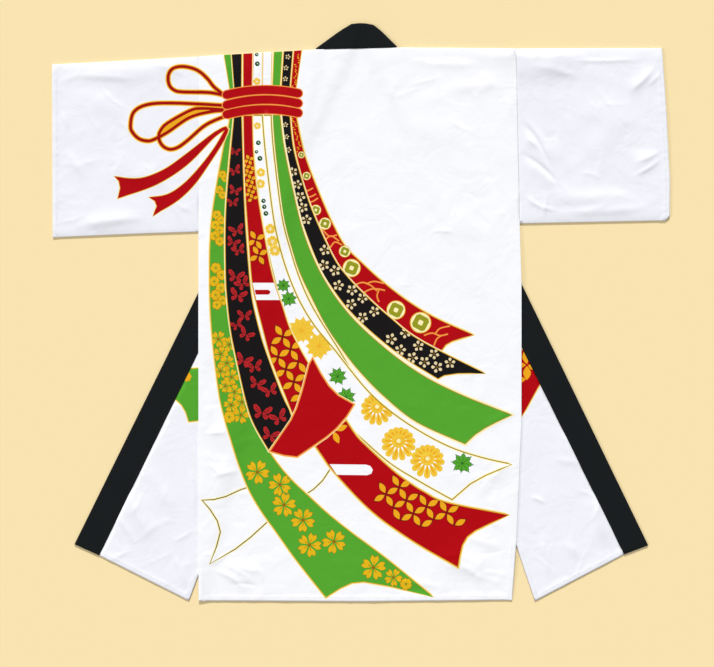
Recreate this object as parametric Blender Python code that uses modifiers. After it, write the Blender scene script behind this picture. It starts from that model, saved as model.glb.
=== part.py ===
"""A long happi coat laid flat with its back up and both fronts turned out, as separate cloth pieces.

X runs across the coat, Y from hem to neck, Z up. Each panel is a triangulated flat cut that is lifted
to its height over the layers under it, then given its wall.
"""

import math
from dataclasses import dataclass

import bmesh
import bpy
from mathutils import Vector
from mathutils.geometry import delaunay_2d_cdt

MM = 0.001

# Cloth and seams, in millimetres
CLOTH = 1.2
BAND = 2.4
GAP = 0.3
SEAM = 0.5
BODY_CELL = 31.0
FRONT_CELL = 29.0
SLEEVE_CELL = 26.0
BEND_STEPS = 6

# Soft steps of the upper layers over the lower ones, in millimetres of distance
BAND_REACH = (20.0, 50.0)
LAPEL_REACH = (20.0, 48.0)
CREASE_REACH = (4.0, 42.0)
NECK_REACH = (4.5, 30.0)

# Outlines, in millimetres from the middle of the laid coat: x, y
BACK_TOP = ((-326.1, 513.4), (-277.6, 516.4), (-93.7, 527.2), (74.1, 531.3), (310.7, 529.6))
BACK_RIGHT = ((310.7, 529.6), (315.1, 309.9), (318.1, 185.4), (321.9, 58.2), (321.9, -216.0), (311.1, -466.8))
BACK_HEM = ((303.1, -577.2), (-2.0, -580.4), (-325.9, -578.6))
SLEEVE_LEFT = (
    ((-619.9, 497.5), (-483.7, 504.6), (-326.1, 513.4)),
    ((-326.1, 162.0), (-439.5, 158.2), (-618.6, 150.5)),
)
SLEEVE_RIGHT = (
    ((310.7, 529.6), (460.0, 530.3), (604.1, 530.5), (613.0, 400.0), (619.9, 265.7), (619.3, 193.5)),
    ((611.5, 184.4), (318.1, 178.4)),
)


@dataclass(frozen=True)
class Side:
    """One front of the coat: its crease, the collar band beside it and the corners of its turned-out part."""

    name: str
    out: float
    neck: tuple
    slit: tuple
    side_top: tuple
    lapel_corner: tuple
    hem_corner: tuple
    band: tuple


# The band stations are pairs of free edge and seam edge: hem, shoulder, neck fold
LEFT = Side(
    name="left",
    out=-1.0,
    neck=(-90.3, 527.3),
    slit=(-326.1, -527.0),
    side_top=(-326.1, 513.4),
    lapel_corner=(-525.6, -487.7),
    hem_corner=(-345.4, -578.6),
    band=(((-575.0, -465.2), (-525.6, -487.7)), ((-103.6, 492.5), (-59.2, 470.0)), ((-93.7, 527.2), (-24.1, 577.8))),
)
RIGHT = Side(
    name="right",
    out=1.0,
    neck=(84.3, 531.2),
    slit=(311.1, -466.8),
    side_top=(310.7, 529.6),
    lapel_corner=(528.4, -485.5),
    hem_corner=(349.0, -579.2),
    band=(((576.4, -467.4), (528.4, -485.5)), ((129.1, 456.4), (75.3, 431.3)), ((74.1, 531.3), (28.9, 576.0))),
)

# Soft folds of the top layers: x and y of both ends, half width, height
SLEEVE_FOLDS = (
    (138.5, 482.5, 470.0, 492.0, 26.0, 3.2),
    (329.1, 372.0, 392.0, 292.0, 15.0, 3.0),
    (329.1, 315.9, 400.0, 244.0, 15.0, 2.4),
    (338.0, 238.0, 575.0, 214.0, 15.0, 2.2),
    (596.0, 492.0, 530.0, 436.0, 15.0, 2.4),
    (600.0, 322.0, 540.0, 286.0, 17.0, 2.2),
    (-590.0, 478.0, -350.0, 484.0, 20.0, 2.2),
    (-585.0, 176.0, -420.0, 196.0, 15.0, 2.0),
)
FRONT_FOLDS = (
    (-479.7, -350.0, -416.0, -470.0, 26.0, 2.6),
    (392.0, -244.0, 480.0, -286.0, 24.0, 2.4),
    (468.0, -350.0, 492.0, -478.0, 22.0, 2.2),
)
BACK_FOLDS = (
    (-293.0, -496.0, -198.7, -548.0, 24.0, 2.4),
    (-312.0, -236.0, -250.0, -246.0, 22.0, 1.6),
    (-300.0, -326.0, -235.0, -318.0, 22.0, 1.6),
    (130.0, -480.0, 279.0, -520.0, 26.0, 2.2),
)


def ease(distance, reach):
    """1 up to the first distance of reach, 0 from the second, eased between."""
    part = min(max((distance - reach[0]) / (reach[1] - reach[0]), 0.0), 1.0)
    return 1.0 - part * part * (3.0 - 2.0 * part)


def outside(point, start, end, out):
    """Distance of the point from the line start to end, positive on the side that faces out (+1 or -1)."""
    direction = (Vector(end) - Vector(start)).normalized()
    normal = Vector((-direction.y, direction.x))
    if normal.x * out < 0.0:
        normal.negate()
    return (Vector(point[:2]) - Vector(start)).dot(normal)


def from_crease(point, side):
    return outside(point, side.neck, side.slit, side.out)


def from_free_edge(point, side):
    return outside(point, side.band[1][0], side.band[0][0], side.out)


def from_seam_edge(point, side):
    return outside(point, side.band[1][1], side.band[0][1], side.out)


def front_base(point, side):
    """Height of the underside of the upper part of a front, over its lapel and the collar band."""
    over_band = ease(from_free_edge(point, side), BAND_REACH)
    lapel = CLOTH + GAP
    over_lapel = lapel + (BAND - CLOTH) * ease(-from_seam_edge(point, side), LAPEL_REACH)
    return over_band * over_lapel


def neck_base(point):
    """Height that the two collar bands hold up, near the neck."""
    return (BAND + GAP) * max(ease(-from_seam_edge(point, side), NECK_REACH) for side in (LEFT, RIGHT))


def fold_height(point, folds):
    """Height of the soft folds at the point, each fading to its ends."""
    total = 0.0
    for x0, y0, x1, y1, width, height in folds:
        start = Vector((x0, y0))
        along = Vector((x1, y1)) - start
        offset = Vector(point[:2]) - start
        part = offset.dot(along) / along.length_squared
        if not 0.0 < part < 1.0:
            continue
        across = (offset - along * part).length / width
        total += height * math.sin(math.pi * part) ** 1.2 * math.exp(-across * across)
    return total


def back_base(point):
    """Height of the underside of the back, over the fronts and near the neck over the collar."""
    height = neck_base(point) if point[1] > 150.0 else 0.0
    for side in (LEFT, RIGHT):
        stack = front_base(point, side) + CLOTH + GAP
        height = max(height, stack * ease(-from_crease(point, side), CREASE_REACH))
    return height + fold_height(point, BACK_FOLDS)


def spaced(points, cell, closed=True):
    """The polygon's or line's corners with even points between them, at most a cell apart."""
    result = []
    pairs = list(zip(points, points[1:] + points[:1] if closed else points[1:]))
    for start, end in pairs:
        start, end = Vector(start), Vector(end)
        steps = max(1, math.ceil((end - start).length / cell - 0.15))
        result += [start.lerp(end, i / steps) for i in range(steps)]
    if not closed:
        result.append(Vector(points[-1]))
    return result


def inside(point, polygon):
    """Whether the polygon holds the point."""
    found = False
    for start, end in zip(polygon, polygon[1:] + polygon[:1]):
        if (start[1] > point[1]) != (end[1] > point[1]):
            crossing = start[0] + (end[0] - start[0]) * (point[1] - start[1]) / (end[1] - start[1])
            found ^= point[0] < crossing
    return found


def nearest(point, points):
    return min((point - other).length for other in points)


def flat_cut(outline, cell, creases=()):
    """Triangles of a flat panel: its outline, its crease lines and rows of points a cell apart."""
    points = list(outline)
    edges = [(i, (i + 1) % len(points)) for i in range(len(points))]
    for crease in creases:
        first = len(points)
        points += crease
        edges += [(i, i + 1) for i in range(first, len(points) - 1)]
    fixed = list(points)
    row = cell * math.sqrt(0.75)
    low_x, high_x = min(p.x for p in outline), max(p.x for p in outline)
    low_y, high_y = min(p.y for p in outline), max(p.y for p in outline)
    for j in range(1, int((high_y - low_y) / row) + 1):
        for i in range(int((high_x - low_x) / cell) + 2):
            point = Vector((low_x + (i + 0.5 * (j % 2)) * cell, low_y + j * row))
            if inside(point, outline) and nearest(point, fixed) > 0.6 * cell:
                points.append(point)
    vertices, _, faces, *_ = delaunay_2d_cdt(points, edges, [], 1, 1e-4)
    return vertices, faces


def solid(name, vertices, faces, thickness, colour, roughness):
    """An open surface given its wall towards the inner side of its normals."""
    mesh = bpy.data.meshes.new(name)
    mesh.from_pydata([Vector(v) * MM for v in vertices], [], faces)
    work = bmesh.new()
    work.from_mesh(mesh)
    bmesh.ops.remove_doubles(work, verts=work.verts, dist=0.00002)
    bmesh.ops.recalc_face_normals(work, faces=work.faces)
    top = max((f for f in work.faces), key=lambda f: f.calc_center_median().z)
    if top.normal.z < 0.0:
        bmesh.ops.reverse_faces(work, faces=work.faces)
    for face in work.faces:
        face.smooth = True
    work.to_mesh(mesh)
    work.free()
    panel = bpy.data.objects.new(name, mesh)
    parts.objects.link(panel)
    wall = panel.modifiers.new("wall", "SOLIDIFY")
    wall.thickness = thickness * MM
    wall.offset = -1.0
    wall.use_even_offset = True
    cloth = bpy.data.materials.new(name)
    cloth.use_nodes = True
    shader = cloth.node_tree.nodes["Principled BSDF"]
    shader.inputs["Base Color"].default_value = (*colour, 1.0)
    shader.inputs["Roughness"].default_value = roughness
    shader.inputs["Metallic"].default_value = 0.0
    mesh.materials.append(cloth)
    return panel


def beside_band(side):
    """A line just past the band's seam edge, from the neck down to the crease, where the back starts to sink."""
    edge = Vector(side.band[1][1])
    along = (Vector(side.band[0][1]) - edge).normalized()
    step_in = Vector((-side.out * abs(along.y), -abs(along.x))) * NECK_REACH[0]
    return [tuple(edge - along * 55.0 + step_in), tuple(edge + along * 165.0 + step_in)]


def build_back():
    """The back panel, over both fronts, and the flat cut that the fronts share."""
    creases = []
    for side in (LEFT, RIGHT):
        creases.append(spaced([side.neck, side.slit], BODY_CELL, closed=False))
        creases.append(spaced(beside_band(side), BODY_CELL, closed=False))
    top = [BACK_TOP[0], BACK_TOP[1], LEFT.neck, RIGHT.neck, BACK_TOP[-1]]
    corners = top + list(BACK_RIGHT[1:]) + list(BACK_HEM) + [LEFT.slit]
    vertices, faces = flat_cut(spaced(corners, BODY_CELL), BODY_CELL, creases)
    lifted = [(v.x, v.y, back_base(v) + CLOTH) for v in vertices]
    solid("back", lifted, faces, CLOTH, SATIN, 0.42)
    return vertices, faces


def build_front(side, cut):
    """A front: its upper part under the back, the crease and the turned-out lapel on the table."""
    body, body_faces = cut
    vertices = [(v.x, v.y, front_base(v, side) + CLOTH) for v in body]
    faces = []
    for face in body_faces:
        middle = sum((body[i] for i in face), Vector((0.0, 0.0))) / 3.0
        if from_crease(middle, side) > 0.0 and middle.y > side.slit[1]:
            faces.append(face)

    crease = [v for v in body if abs(from_crease(v, side)) < 0.01 and v.y > side.slit[1] - 0.01]
    crease = sorted((v for v in crease if from_seam_edge(v, side) < -3.0), key=lambda v: -v.y)
    direction = (Vector(side.slit) - Vector(side.neck)).normalized()
    inward = Vector((-direction.y, direction.x))
    if inward.x * side.out > 0.0:
        inward.negate()

    bend = []
    for point in crease:
        radius = (front_base(point, side) + CLOTH) / 2.0
        row = []
        for step in range(BEND_STEPS + 1):
            turn = math.pi * step / BEND_STEPS
            shift = point + inward * (radius * math.sin(turn))
            row.append(len(vertices))
            vertices.append((shift.x, shift.y, radius + radius * math.cos(turn)))
        bend.append(row)
    for upper, lower in zip(bend, bend[1:]):
        for a, b in zip(range(BEND_STEPS), range(1, BEND_STEPS + 1)):
            faces.append((upper[a], upper[b], lower[b], lower[a]))

    along = (Vector(side.band[0][1]) - Vector(side.band[1][1])).normalized()
    step_in = Vector((along.y, -along.x))
    if step_in.x * side.out > 0.0:
        step_in.negate()
    edge = Vector(side.band[1][1])
    seam_top = edge + along * ((crease[0] - edge).dot(along) + 4.0) + step_in * GAP
    seam_end = Vector(side.lapel_corner) + step_in * GAP
    outline = list(crease)
    outline += spaced([crease[-1], side.hem_corner, tuple(seam_end), tuple(seam_top)], FRONT_CELL, closed=False)[1:]
    flat, flat_faces = flat_cut(outline, FRONT_CELL)
    first = len(vertices)
    vertices += [(v.x, v.y, fold_height(v, FRONT_FOLDS)) for v in flat]
    faces += [tuple(i + first for i in face) for face in flat_faces]
    used = sorted({i for face in faces for i in face})
    place = {old: new for new, old in enumerate(used)}
    vertices = [vertices[i] for i in used]
    faces = [tuple(place[i] for i in face) for face in faces]
    solid(f"front_{side.name}", vertices, faces, CLOTH, SATIN, 0.42)


def build_sleeve(name, edges, shift):
    """A sleeve as a flat tube: one cloth folded at the top and sewn under the arm."""
    outer = CLOTH + GAP / 2.0
    top = spaced([(x, y - outer) for x, y in edges[0]], SLEEVE_CELL, closed=False)
    low = spaced([(x, y + outer) for x, y in edges[1]], SLEEVE_CELL, closed=False)
    top = [point + Vector((shift, 0.0)) for point in top]
    low = [point + Vector((shift, 0.0)) for point in low]
    outline = []
    for line, following in ((top, low), (low, top)):
        outline += line
        outline += spaced([tuple(line[-1]), tuple(following[0])], SLEEVE_CELL, closed=False)[1:-1]
    cut, cut_faces = flat_cut(outline, SLEEVE_CELL)
    count = len(cut)
    vertices = [(v.x, v.y, 2.0 * outer + fold_height(v, SLEEVE_FOLDS)) for v in cut]
    vertices += [(v.x, v.y, 0.0) for v in cut]
    faces = list(cut_faces) + [tuple(i + count for i in reversed(face)) for face in cut_faces]
    for line, sign in ((fold_part(top, edges[0]), 1.0), (low, -1.0)):
        index = [min(range(count), key=lambda i: (cut[i] - point).length) for point in line]
        rows = []
        for i in index:
            height = vertices[i][2]
            row = [i]
            for step in range(1, BEND_STEPS):
                turn = math.pi * step / BEND_STEPS
                row.append(len(vertices))
                reach = outer * math.sin(turn) * sign
                vertices.append((cut[i].x, cut[i].y + reach, height / 2.0 * (1.0 + math.cos(turn))))
            rows.append(row + [i + count])
        for one, other in zip(rows, rows[1:]):
            for a, b in zip(range(BEND_STEPS), range(1, BEND_STEPS + 1)):
                faces.append((one[a], one[b], other[b], other[a]))
    solid(name, vertices, faces, CLOTH, SATIN, 0.42)


def fold_part(top, edge):
    """The points of the top line that lie on the shoulder fold, without the cuff edge that follows it."""
    cuff = [i for i in range(1, len(edge)) if edge[i][1] < edge[i - 1][1] - 60.0]
    if not cuff:
        return top
    last = Vector(edge[cuff[0] - 1])
    end = min(range(len(top)), key=lambda i: (top[i] - last).length)
    return top[: end + 1]


def build_collar():
    """The collar: one doubled band from hem to hem, turned under at both slanted neck folds."""
    columns = 3
    vertices, faces, rows = [], [], []

    def add_row(points):
        rows.append(list(range(len(vertices), len(vertices) + columns + 1)))
        vertices.extend(points)

    def across(pair):
        start, end = Vector(pair[0]), Vector(pair[1])
        return [start.lerp(end, i / columns) for i in range(columns + 1)]

    outer = BAND + GAP / 2.0
    folds = []
    for side in (LEFT, RIGHT):
        line = (Vector(side.band[2][1]) - Vector(side.band[2][0])).normalized()
        normal = Vector((-line.y, line.x))
        if normal.x * side.out < 0.0:
            normal.negate()
        shift = Vector((-outer / normal.x, SEAM))
        folds.append((normal, [point + shift for point in across(side.band[2])]))

    def band_rows(side, fold):
        stations = [across(side.band[0]), across(side.band[1]), fold]
        result = [stations[0]]
        for start, end, count in ((stations[0], stations[1], 36), (stations[1], stations[2], 4)):
            for i in range(1, count + 1):
                result.append([a.lerp(b, i / count) for a, b in zip(start, end)])
        return result

    left_normal, left_fold = folds[0]
    right_normal, right_fold = folds[1]
    for row in band_rows(LEFT, left_fold):
        add_row([(p.x, p.y, 0.0) for p in row])
    for step in range(1, BEND_STEPS):
        turn = math.pi * step / BEND_STEPS
        move = left_normal * outer * math.sin(turn)
        add_row([(*(p + move), outer * (1.0 - math.cos(turn))) for p in left_fold])
    steps = 10
    for i in range(steps + 1):
        part = i / steps
        row = []
        for j, (a, b) in enumerate(zip(left_fold, right_fold)):
            point = a.lerp(b, part)
            point.y += 2.6 * math.sin(math.pi * part) * j / columns
            sag = (BAND + GAP - neck_base(point)) * math.sin(math.pi * part)
            row.append((point.x, point.y, 2.0 * outer - sag))
        add_row(row)
    for step in range(BEND_STEPS - 1, 0, -1):
        turn = math.pi * step / BEND_STEPS
        move = right_normal * outer * math.sin(turn)
        add_row([(*(p + move), outer * (1.0 - math.cos(turn))) for p in right_fold])
    for row in reversed(band_rows(RIGHT, right_fold)):
        add_row([(p.x, p.y, 0.0) for p in row])
    for one, other in zip(rows, rows[1:]):
        for a, b in zip(range(columns), range(1, columns + 1)):
            faces.append((one[a], one[b], other[b], other[a]))
    solid("collar", vertices, faces, BAND, BLACK, 0.75)


# Colours of the plain cloth, before the print is added
SATIN = (0.90, 0.90, 0.92)
BLACK = (0.018, 0.022, 0.024)

for old in list(bpy.data.objects):
    bpy.data.objects.remove(old, do_unlink=True)
parts = bpy.data.collections.new("happi_coat")
bpy.context.scene.collection.children.link(parts)

body_cut = build_back()
build_front(LEFT, body_cut)
build_front(RIGHT, body_cut)
build_sleeve("sleeve_left", SLEEVE_LEFT, -SEAM)
build_sleeve("sleeve_right", SLEEVE_RIGHT, SEAM)
build_collar()
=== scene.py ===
"""Looks of a long happi coat that lies flat with its back up and both fronts turned out.

Lengths are in millimetres until a mesh is made. The print is drawn on a layout grid whose step is
LAYOUT_STEP, counted to the right and down from a corner above the left cuff.
"""

import logging
import math
import random
from collections.abc import Callable, Sequence
from dataclasses import dataclass, field
from enum import Enum
from functools import cached_property

import bmesh
import bpy
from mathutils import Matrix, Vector, noise
from mathutils.geometry import delaunay_2d_cdt


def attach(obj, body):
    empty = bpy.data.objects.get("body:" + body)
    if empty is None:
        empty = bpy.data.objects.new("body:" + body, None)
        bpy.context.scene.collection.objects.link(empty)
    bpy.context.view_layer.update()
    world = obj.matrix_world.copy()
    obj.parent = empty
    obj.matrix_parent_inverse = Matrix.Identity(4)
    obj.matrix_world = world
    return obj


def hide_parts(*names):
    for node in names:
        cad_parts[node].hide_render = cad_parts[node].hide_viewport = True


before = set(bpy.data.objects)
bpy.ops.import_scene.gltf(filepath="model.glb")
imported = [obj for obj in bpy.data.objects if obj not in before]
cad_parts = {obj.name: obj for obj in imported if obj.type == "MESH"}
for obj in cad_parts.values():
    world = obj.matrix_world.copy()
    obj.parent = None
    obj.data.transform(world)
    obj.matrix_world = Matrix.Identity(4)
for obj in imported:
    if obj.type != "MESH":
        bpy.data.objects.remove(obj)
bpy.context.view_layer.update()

log = logging.getLogger("happi_coat")

Point = tuple[float, float]
Line = Sequence[Point]
Rows = tuple[tuple[float, ...], ...]

MM = 0.001
LAYOUT_STEP = 2.007
LAYOUT_MIDDLE = (361.0, 312.4)

CLOTH = 1.2
BAND = 2.4
GAP = 0.3
SEAM = 0.5
WALL = 0.9
HEM_DEPTH = 9.5
HEM_GUIDES = (2.2, HEM_DEPTH, HEM_DEPTH + 2.4)
SEAM_GUIDES = (0.8, 2.8, 5.0)
UNDERARM_Y = 206.0
NECK_ZONE_Y = 150.0
BAND_SHOWN_Y = 60.0
FLOOR_GAP = 0.02

BAND_REACH = (20.0, 50.0)
LAPEL_REACH = (20.0, 48.0)
CREASE_REACH = (4.0, 42.0)
NECK_REACH = (4.5, 30.0)

BACK_TOP: Line = ((-326.1, 513.4), (-277.6, 516.4), (-90.3, 527.3), (84.3, 531.2), (310.7, 529.6))
BACK_RIGHT: Line = (
    (310.7, 529.6), (315.1, 309.9), (318.1, 185.4), (321.9, 58.2), (321.9, -216), (311.1, -466.8),
    (303.1, -577.2),
)
BACK_HEM: Line = ((303.1, -577.2), (-2, -580.4), (-325.9, -578.6))
BACK_LEFT: Line = ((-325.9, -578.6), (-326.1, -527), (-326.1, 513.4))


class Dye(Enum):
    """Colours of the cloth and its print, as red, green and blue from 0 to 255, with a second, darker and
    bluer white of the cloth that is painted shade.
    """

    WHITE = (249, 249, 251)
    # The same white satin painted a little darker and bluer: painted shade for the sleeves, the folds and
    # the turned-out fronts.
    PEARL = (242, 242, 247)
    INSIDE = (240, 240, 246)
    CREAM = (254, 240, 182)
    PALE = (255, 246, 190)
    STRAW = (240, 198, 58)
    MUSTARD = (228, 180, 22)
    UMBER = (150, 104, 10)
    BRONZE = (124, 98, 34)
    CORAL = (242, 152, 66)
    BUFF = (232, 212, 164)
    GOLD = (238, 168, 26)
    LINE = (226, 172, 44)
    TAN = (172, 140, 26)
    OLIVE = (150, 152, 30)
    RED = (177, 0, 12)
    CRIMSON = (160, 6, 6)
    WINE = (104, 12, 16)
    ROSE = (184, 34, 38)
    GREEN = (83, 165, 45)
    MOSS = (26, 82, 24)
    BLACK = (20, 17, 18)


def linear(colour: Sequence[float]) -> tuple[float, float, float, float]:
    """Turn a colour from 0 to 255 into linear light.

    Args:
        colour: Red, green and blue as seen.

    Returns:
        Red, green, blue and full alpha for a shader.
    """
    parts = [c / 255.0 for c in colour]
    light = [p / 12.92 if p <= 0.04045 else ((p + 0.055) / 1.055) ** 2.4 for p in parts]
    return (light[0], light[1], light[2], 1.0)


# Node helpers


Link = tuple[bpy.types.Node, str | int, bpy.types.Node, str | int]


def add_node(
    tree: bpy.types.NodeTree, kind: str, values: dict[str | int, float] | None = None, **settings: str
) -> bpy.types.Node:
    """Add a node to a tree.

    Args:
        tree: The tree.
        kind: The node's type.
        values: Its inputs that differ from their defaults.
        settings: Its properties that differ from their defaults.

    Returns:
        The node.
    """
    node = tree.nodes.new(kind)
    for label, setting in settings.items():
        setattr(node, label, setting)
    for label, value in (values or {}).items():
        node.inputs[label].default_value = value
    return node


def wire(tree: bpy.types.NodeTree, *links: Link) -> None:
    """Join nodes, each link from a node's output to another's input."""
    for source, output, target, entry in links:
        tree.links.new(source.outputs[output], target.inputs[entry])


# Finishes


@dataclass(frozen=True)
class ClothSurface:
    """Shader group of woven cloth: thread relief, small crinkles and a faint unevenness of its lustre."""

    name: str = "woven_surface"

    def group(self) -> bpy.types.NodeTree:
        """Build the group once.

        Returns:
            The group, with thread pitch and lustre inputs.
        """
        if self.name in bpy.data.node_groups:
            return bpy.data.node_groups[self.name]
        tree = bpy.data.node_groups.new(self.name, "ShaderNodeTree")
        face = tree.interface
        for label, value in (("Threads per metre", 1400.0), ("Lustre", 0.42), ("Unevenness", 0.06)):
            face.new_socket(label, in_out="INPUT", socket_type="NodeSocketFloat").default_value = value
        for label in ("Relief", "Crinkle", "Roughness"):
            face.new_socket(label, in_out="OUTPUT", socket_type="NodeSocketFloat")
        come, leave = add_node(tree, "NodeGroupInput"), add_node(tree, "NodeGroupOutput")
        place = add_node(tree, "ShaderNodeTexCoord")
        scale = add_node(tree, "ShaderNodeVectorMath", operation="SCALE")
        weave = add_node(
            tree,
            "ShaderNodeTexWave",
            {"Scale": 0.32, "Distortion": 1.2},
            wave_type="BANDS",
            bands_direction="DIAGONAL",
        )
        cloud = add_node(tree, "ShaderNodeTexNoise", {"Scale": 14.0, "Detail": 3.0})
        rough = {"Scale": 13.0, "Detail": 3.5, "Roughness": 0.6, "Distortion": 0.6}
        crinkle = add_node(tree, "ShaderNodeTexNoise", rough)
        spread = add_node(tree, "ShaderNodeMath", {1: 0.5}, operation="SUBTRACT")
        uneven = add_node(tree, "ShaderNodeMath", operation="MULTIPLY")
        total = add_node(tree, "ShaderNodeMath", operation="ADD")
        wire(
            tree,
            (place, "Object", scale, 0),
            (come, "Threads per metre", scale, "Scale"),
            (scale, 0, weave, "Vector"),
            (place, "Object", cloud, "Vector"),
            (place, "Object", crinkle, "Vector"),
            (cloud, "Fac", spread, 0),
            (spread, 0, uneven, 0),
            (come, "Unevenness", uneven, 1),
            (uneven, 0, total, 0),
            (come, "Lustre", total, 1),
            (weave, "Fac", leave, "Relief"),
            (crinkle, "Fac", leave, "Crinkle"),
            (total, 0, leave, "Roughness"),
        )
        return tree


@dataclass(frozen=True)
class ClothFinish:
    """A dyed cloth: its colour, how smooth it is, and the height of its threads and crinkles in metres."""

    name: str
    colour: tuple[int, int, int]
    lustre: float = 0.46
    threads: float = 1500.0
    relief: float = 0.00003
    crinkle: float = 0.0045
    specular: float = 0.32
    sheen: float = 0.0

    def material(self) -> bpy.types.Material:
        """Build the material once.

        Returns:
            The material of this finish.
        """
        if self.name in bpy.data.materials:
            return bpy.data.materials[self.name]
        made = bpy.data.materials.new(self.name)
        made.use_nodes = True
        tree = made.node_tree
        shader = tree.nodes["Principled BSDF"]
        shader.inputs["Base Color"].default_value = linear(self.colour)
        shader.inputs["Specular IOR Level"].default_value = self.specular
        shader.inputs["Sheen Weight"].default_value = self.sheen
        shader.inputs["Sheen Roughness"].default_value = 0.4
        surface = tree.nodes.new("ShaderNodeGroup")
        surface.node_tree = ClothSurface().group()
        surface.inputs["Threads per metre"].default_value = self.threads
        surface.inputs["Lustre"].default_value = self.lustre
        crinkles = add_node(tree, "ShaderNodeBump", {"Strength": 0.4, "Distance": self.crinkle})
        threads = add_node(tree, "ShaderNodeBump", {"Strength": 0.25, "Distance": self.relief})
        wire(
            tree,
            (surface, "Crinkle", crinkles, "Height"),
            (surface, "Relief", threads, "Height"),
            (crinkles, "Normal", threads, "Normal"),
            (surface, "Roughness", shader, "Roughness"),
            (threads, "Normal", shader, "Normal"),
        )
        return made


def satin(dye: Dye) -> bpy.types.Material:
    """Return the satin of that dye, a little duller where it is dyed."""
    pale = dye in (Dye.WHITE, Dye.PEARL, Dye.INSIDE)
    finish = ClothFinish(f"satin_{dye.name.lower()}", dye.value, specular=0.3 if pale else 0.1)
    return finish.material()


# Lines and outlines


def at(x: float, y: float) -> Point:
    """Turn a place on the layout grid into millimetres on the coat."""
    return ((x - LAYOUT_MIDDLE[0]) * LAYOUT_STEP, (LAYOUT_MIDDLE[1] - y) * LAYOUT_STEP)


def ease(distance: float, reach: Point) -> float:
    """Return 1 up to the first distance of reach and 0 from the second, eased between."""
    part = min(max((distance - reach[0]) / (reach[1] - reach[0]), 0.0), 1.0)
    return 1.0 - part * part * (3.0 - 2.0 * part)


def direction(start: Point, end: Point) -> Point:
    """Return the direction from one point to another, as a step of 1."""
    size = math.dist(start, end)
    return ((end[0] - start[0]) / size, (end[1] - start[1]) / size)


def sideways(along: Point, out: float) -> Point:
    """Return the direction across another, to the left where out is -1 and to the right where it is 1."""
    across = (along[1], -along[0])
    return across if across[0] * out > 0.0 else (-across[0], -across[1])


def outside(point: Sequence[float], start: Point, end: Point, out: float) -> float:
    """Measure how far a point is from a line.

    Args:
        point: The point.
        start: One end of the line.
        end: Its other end.
        out: Which side is positive, -1 for the left and 1 for the right.

    Returns:
        The distance, positive on the side that faces out.
    """
    across = sideways(direction(start, end), out)
    return (point[0] - start[0]) * across[0] + (point[1] - start[1]) * across[1]


def line_distance(point: Sequence[float], line: Line) -> float:
    """Return the distance from a point to an open line of straight pieces.

    Args:
        point: The point.
        line: The line.

    Returns:
        The distance to its nearest place.
    """
    best = 1e9
    for (ax, ay), (bx, by) in zip(line, line[1:]):
        dx, dy = bx - ax, by - ay
        part = ((point[0] - ax) * dx + (point[1] - ay) * dy) / (dx * dx + dy * dy)
        part = min(max(part, 0.0), 1.0)
        best = min(best, math.hypot(point[0] - ax - part * dx, point[1] - ay - part * dy))
    return best


def spaced(points: Line, cell: float, closed: bool = False) -> list[Point]:
    """Put even points on a line or a polygon.

    Args:
        points: Its corners.
        cell: The longest step between two points.
        closed: Whether the last corner joins the first.

    Returns:
        The corners with the points between them.
    """
    result: list[Point] = []
    points = list(points)
    pairs = zip(points, points[1:] + points[:1] if closed else points[1:])
    for (ax, ay), (bx, by) in pairs:
        steps = max(1, math.ceil(math.hypot(bx - ax, by - ay) / cell - 0.15))
        result += [(ax + (bx - ax) * i / steps, ay + (by - ay) * i / steps) for i in range(steps)]
    if not closed:
        result.append(points[-1])
    return result


def between(p: float, q: float, r: float, s: float, t: float) -> float:
    """Return the smooth value a share t of the way from q to r, where p and s are their neighbours."""
    square, cube = 2 * p - 5 * q + 4 * r - s, 3 * q - p - 3 * r + s
    return 0.5 * (2 * q + (r - p) * t + square * t * t + cube * t ** 3)


def flowing(points: Line, step: float) -> list[Point]:
    """Draw a smooth line through a few points.

    Args:
        points: The points it passes.
        step: The longest step along it.

    Returns:
        The points of the smooth line.
    """
    points = list(points)
    if len(points) < 3:
        return spaced(points, step)
    result: list[Point] = []
    for i in range(len(points) - 1):
        a, b, c, d = points[max(i - 1, 0)], points[i], points[i + 1], points[min(i + 2, len(points) - 1)]
        steps = max(1, round(math.dist(b, c) / step))
        for k in range(steps):
            t = k / steps
            result.append(tuple(between(p, q, r, s, t) for p, q, r, s in zip(a, b, c, d)))
    result.append(points[-1])
    return result


def beside(points: Line, distance: float) -> list[Point]:
    """Return the open line moved to its left by the distance.

    Args:
        points: The line.
        distance: How far it moves.

    Returns:
        The moved line.
    """
    result: list[Point] = []
    points = list(points)
    for i, (x, y) in enumerate(points):
        ax, ay = points[max(i - 1, 0)]
        bx, by = points[min(i + 1, len(points) - 1)]
        size = math.hypot(bx - ax, by - ay) or 1.0
        result.append((x - (by - ay) / size * distance, y + (bx - ax) / size * distance))
    return result


def area(points: Line) -> float:
    """Return a polygon's area, positive where its points run anticlockwise."""
    points = list(points)
    return 0.5 * sum(ax * by - bx * ay for (ax, ay), (bx, by) in zip(points, points[1:] + points[:1]))


def anticlockwise(points: Line) -> list[Point]:
    """Return the polygon with its points anticlockwise."""
    points = list(points)
    return points if area(points) > 0.0 else points[::-1]


def grown(points: Line, amount: float) -> list[Point]:
    """Grow a polygon by a margin, with its sharp corners kept short.

    Args:
        points: The polygon, anticlockwise.
        amount: The margin.

    Returns:
        The larger polygon.
    """
    points = list(points)
    count = len(points)
    result: list[Point] = []
    for i, (x, y) in enumerate(points):
        (ax, ay), (bx, by) = points[i - 1], points[(i + 1) % count]
        one, two = math.hypot(x - ax, y - ay) or 1.0, math.hypot(bx - x, by - y) or 1.0
        n1 = ((y - ay) / one, -(x - ax) / one)
        n2 = ((by - y) / two, -(bx - x) / two)
        nx, ny = n1[0] + n2[0], n1[1] + n2[1]
        size = nx * nx + ny * ny
        reach = min(2.0 / size, 1.9) if size > 1e-6 else 0.0
        result.append((x + nx * reach * amount, y + ny * reach * amount))
    return result


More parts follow.
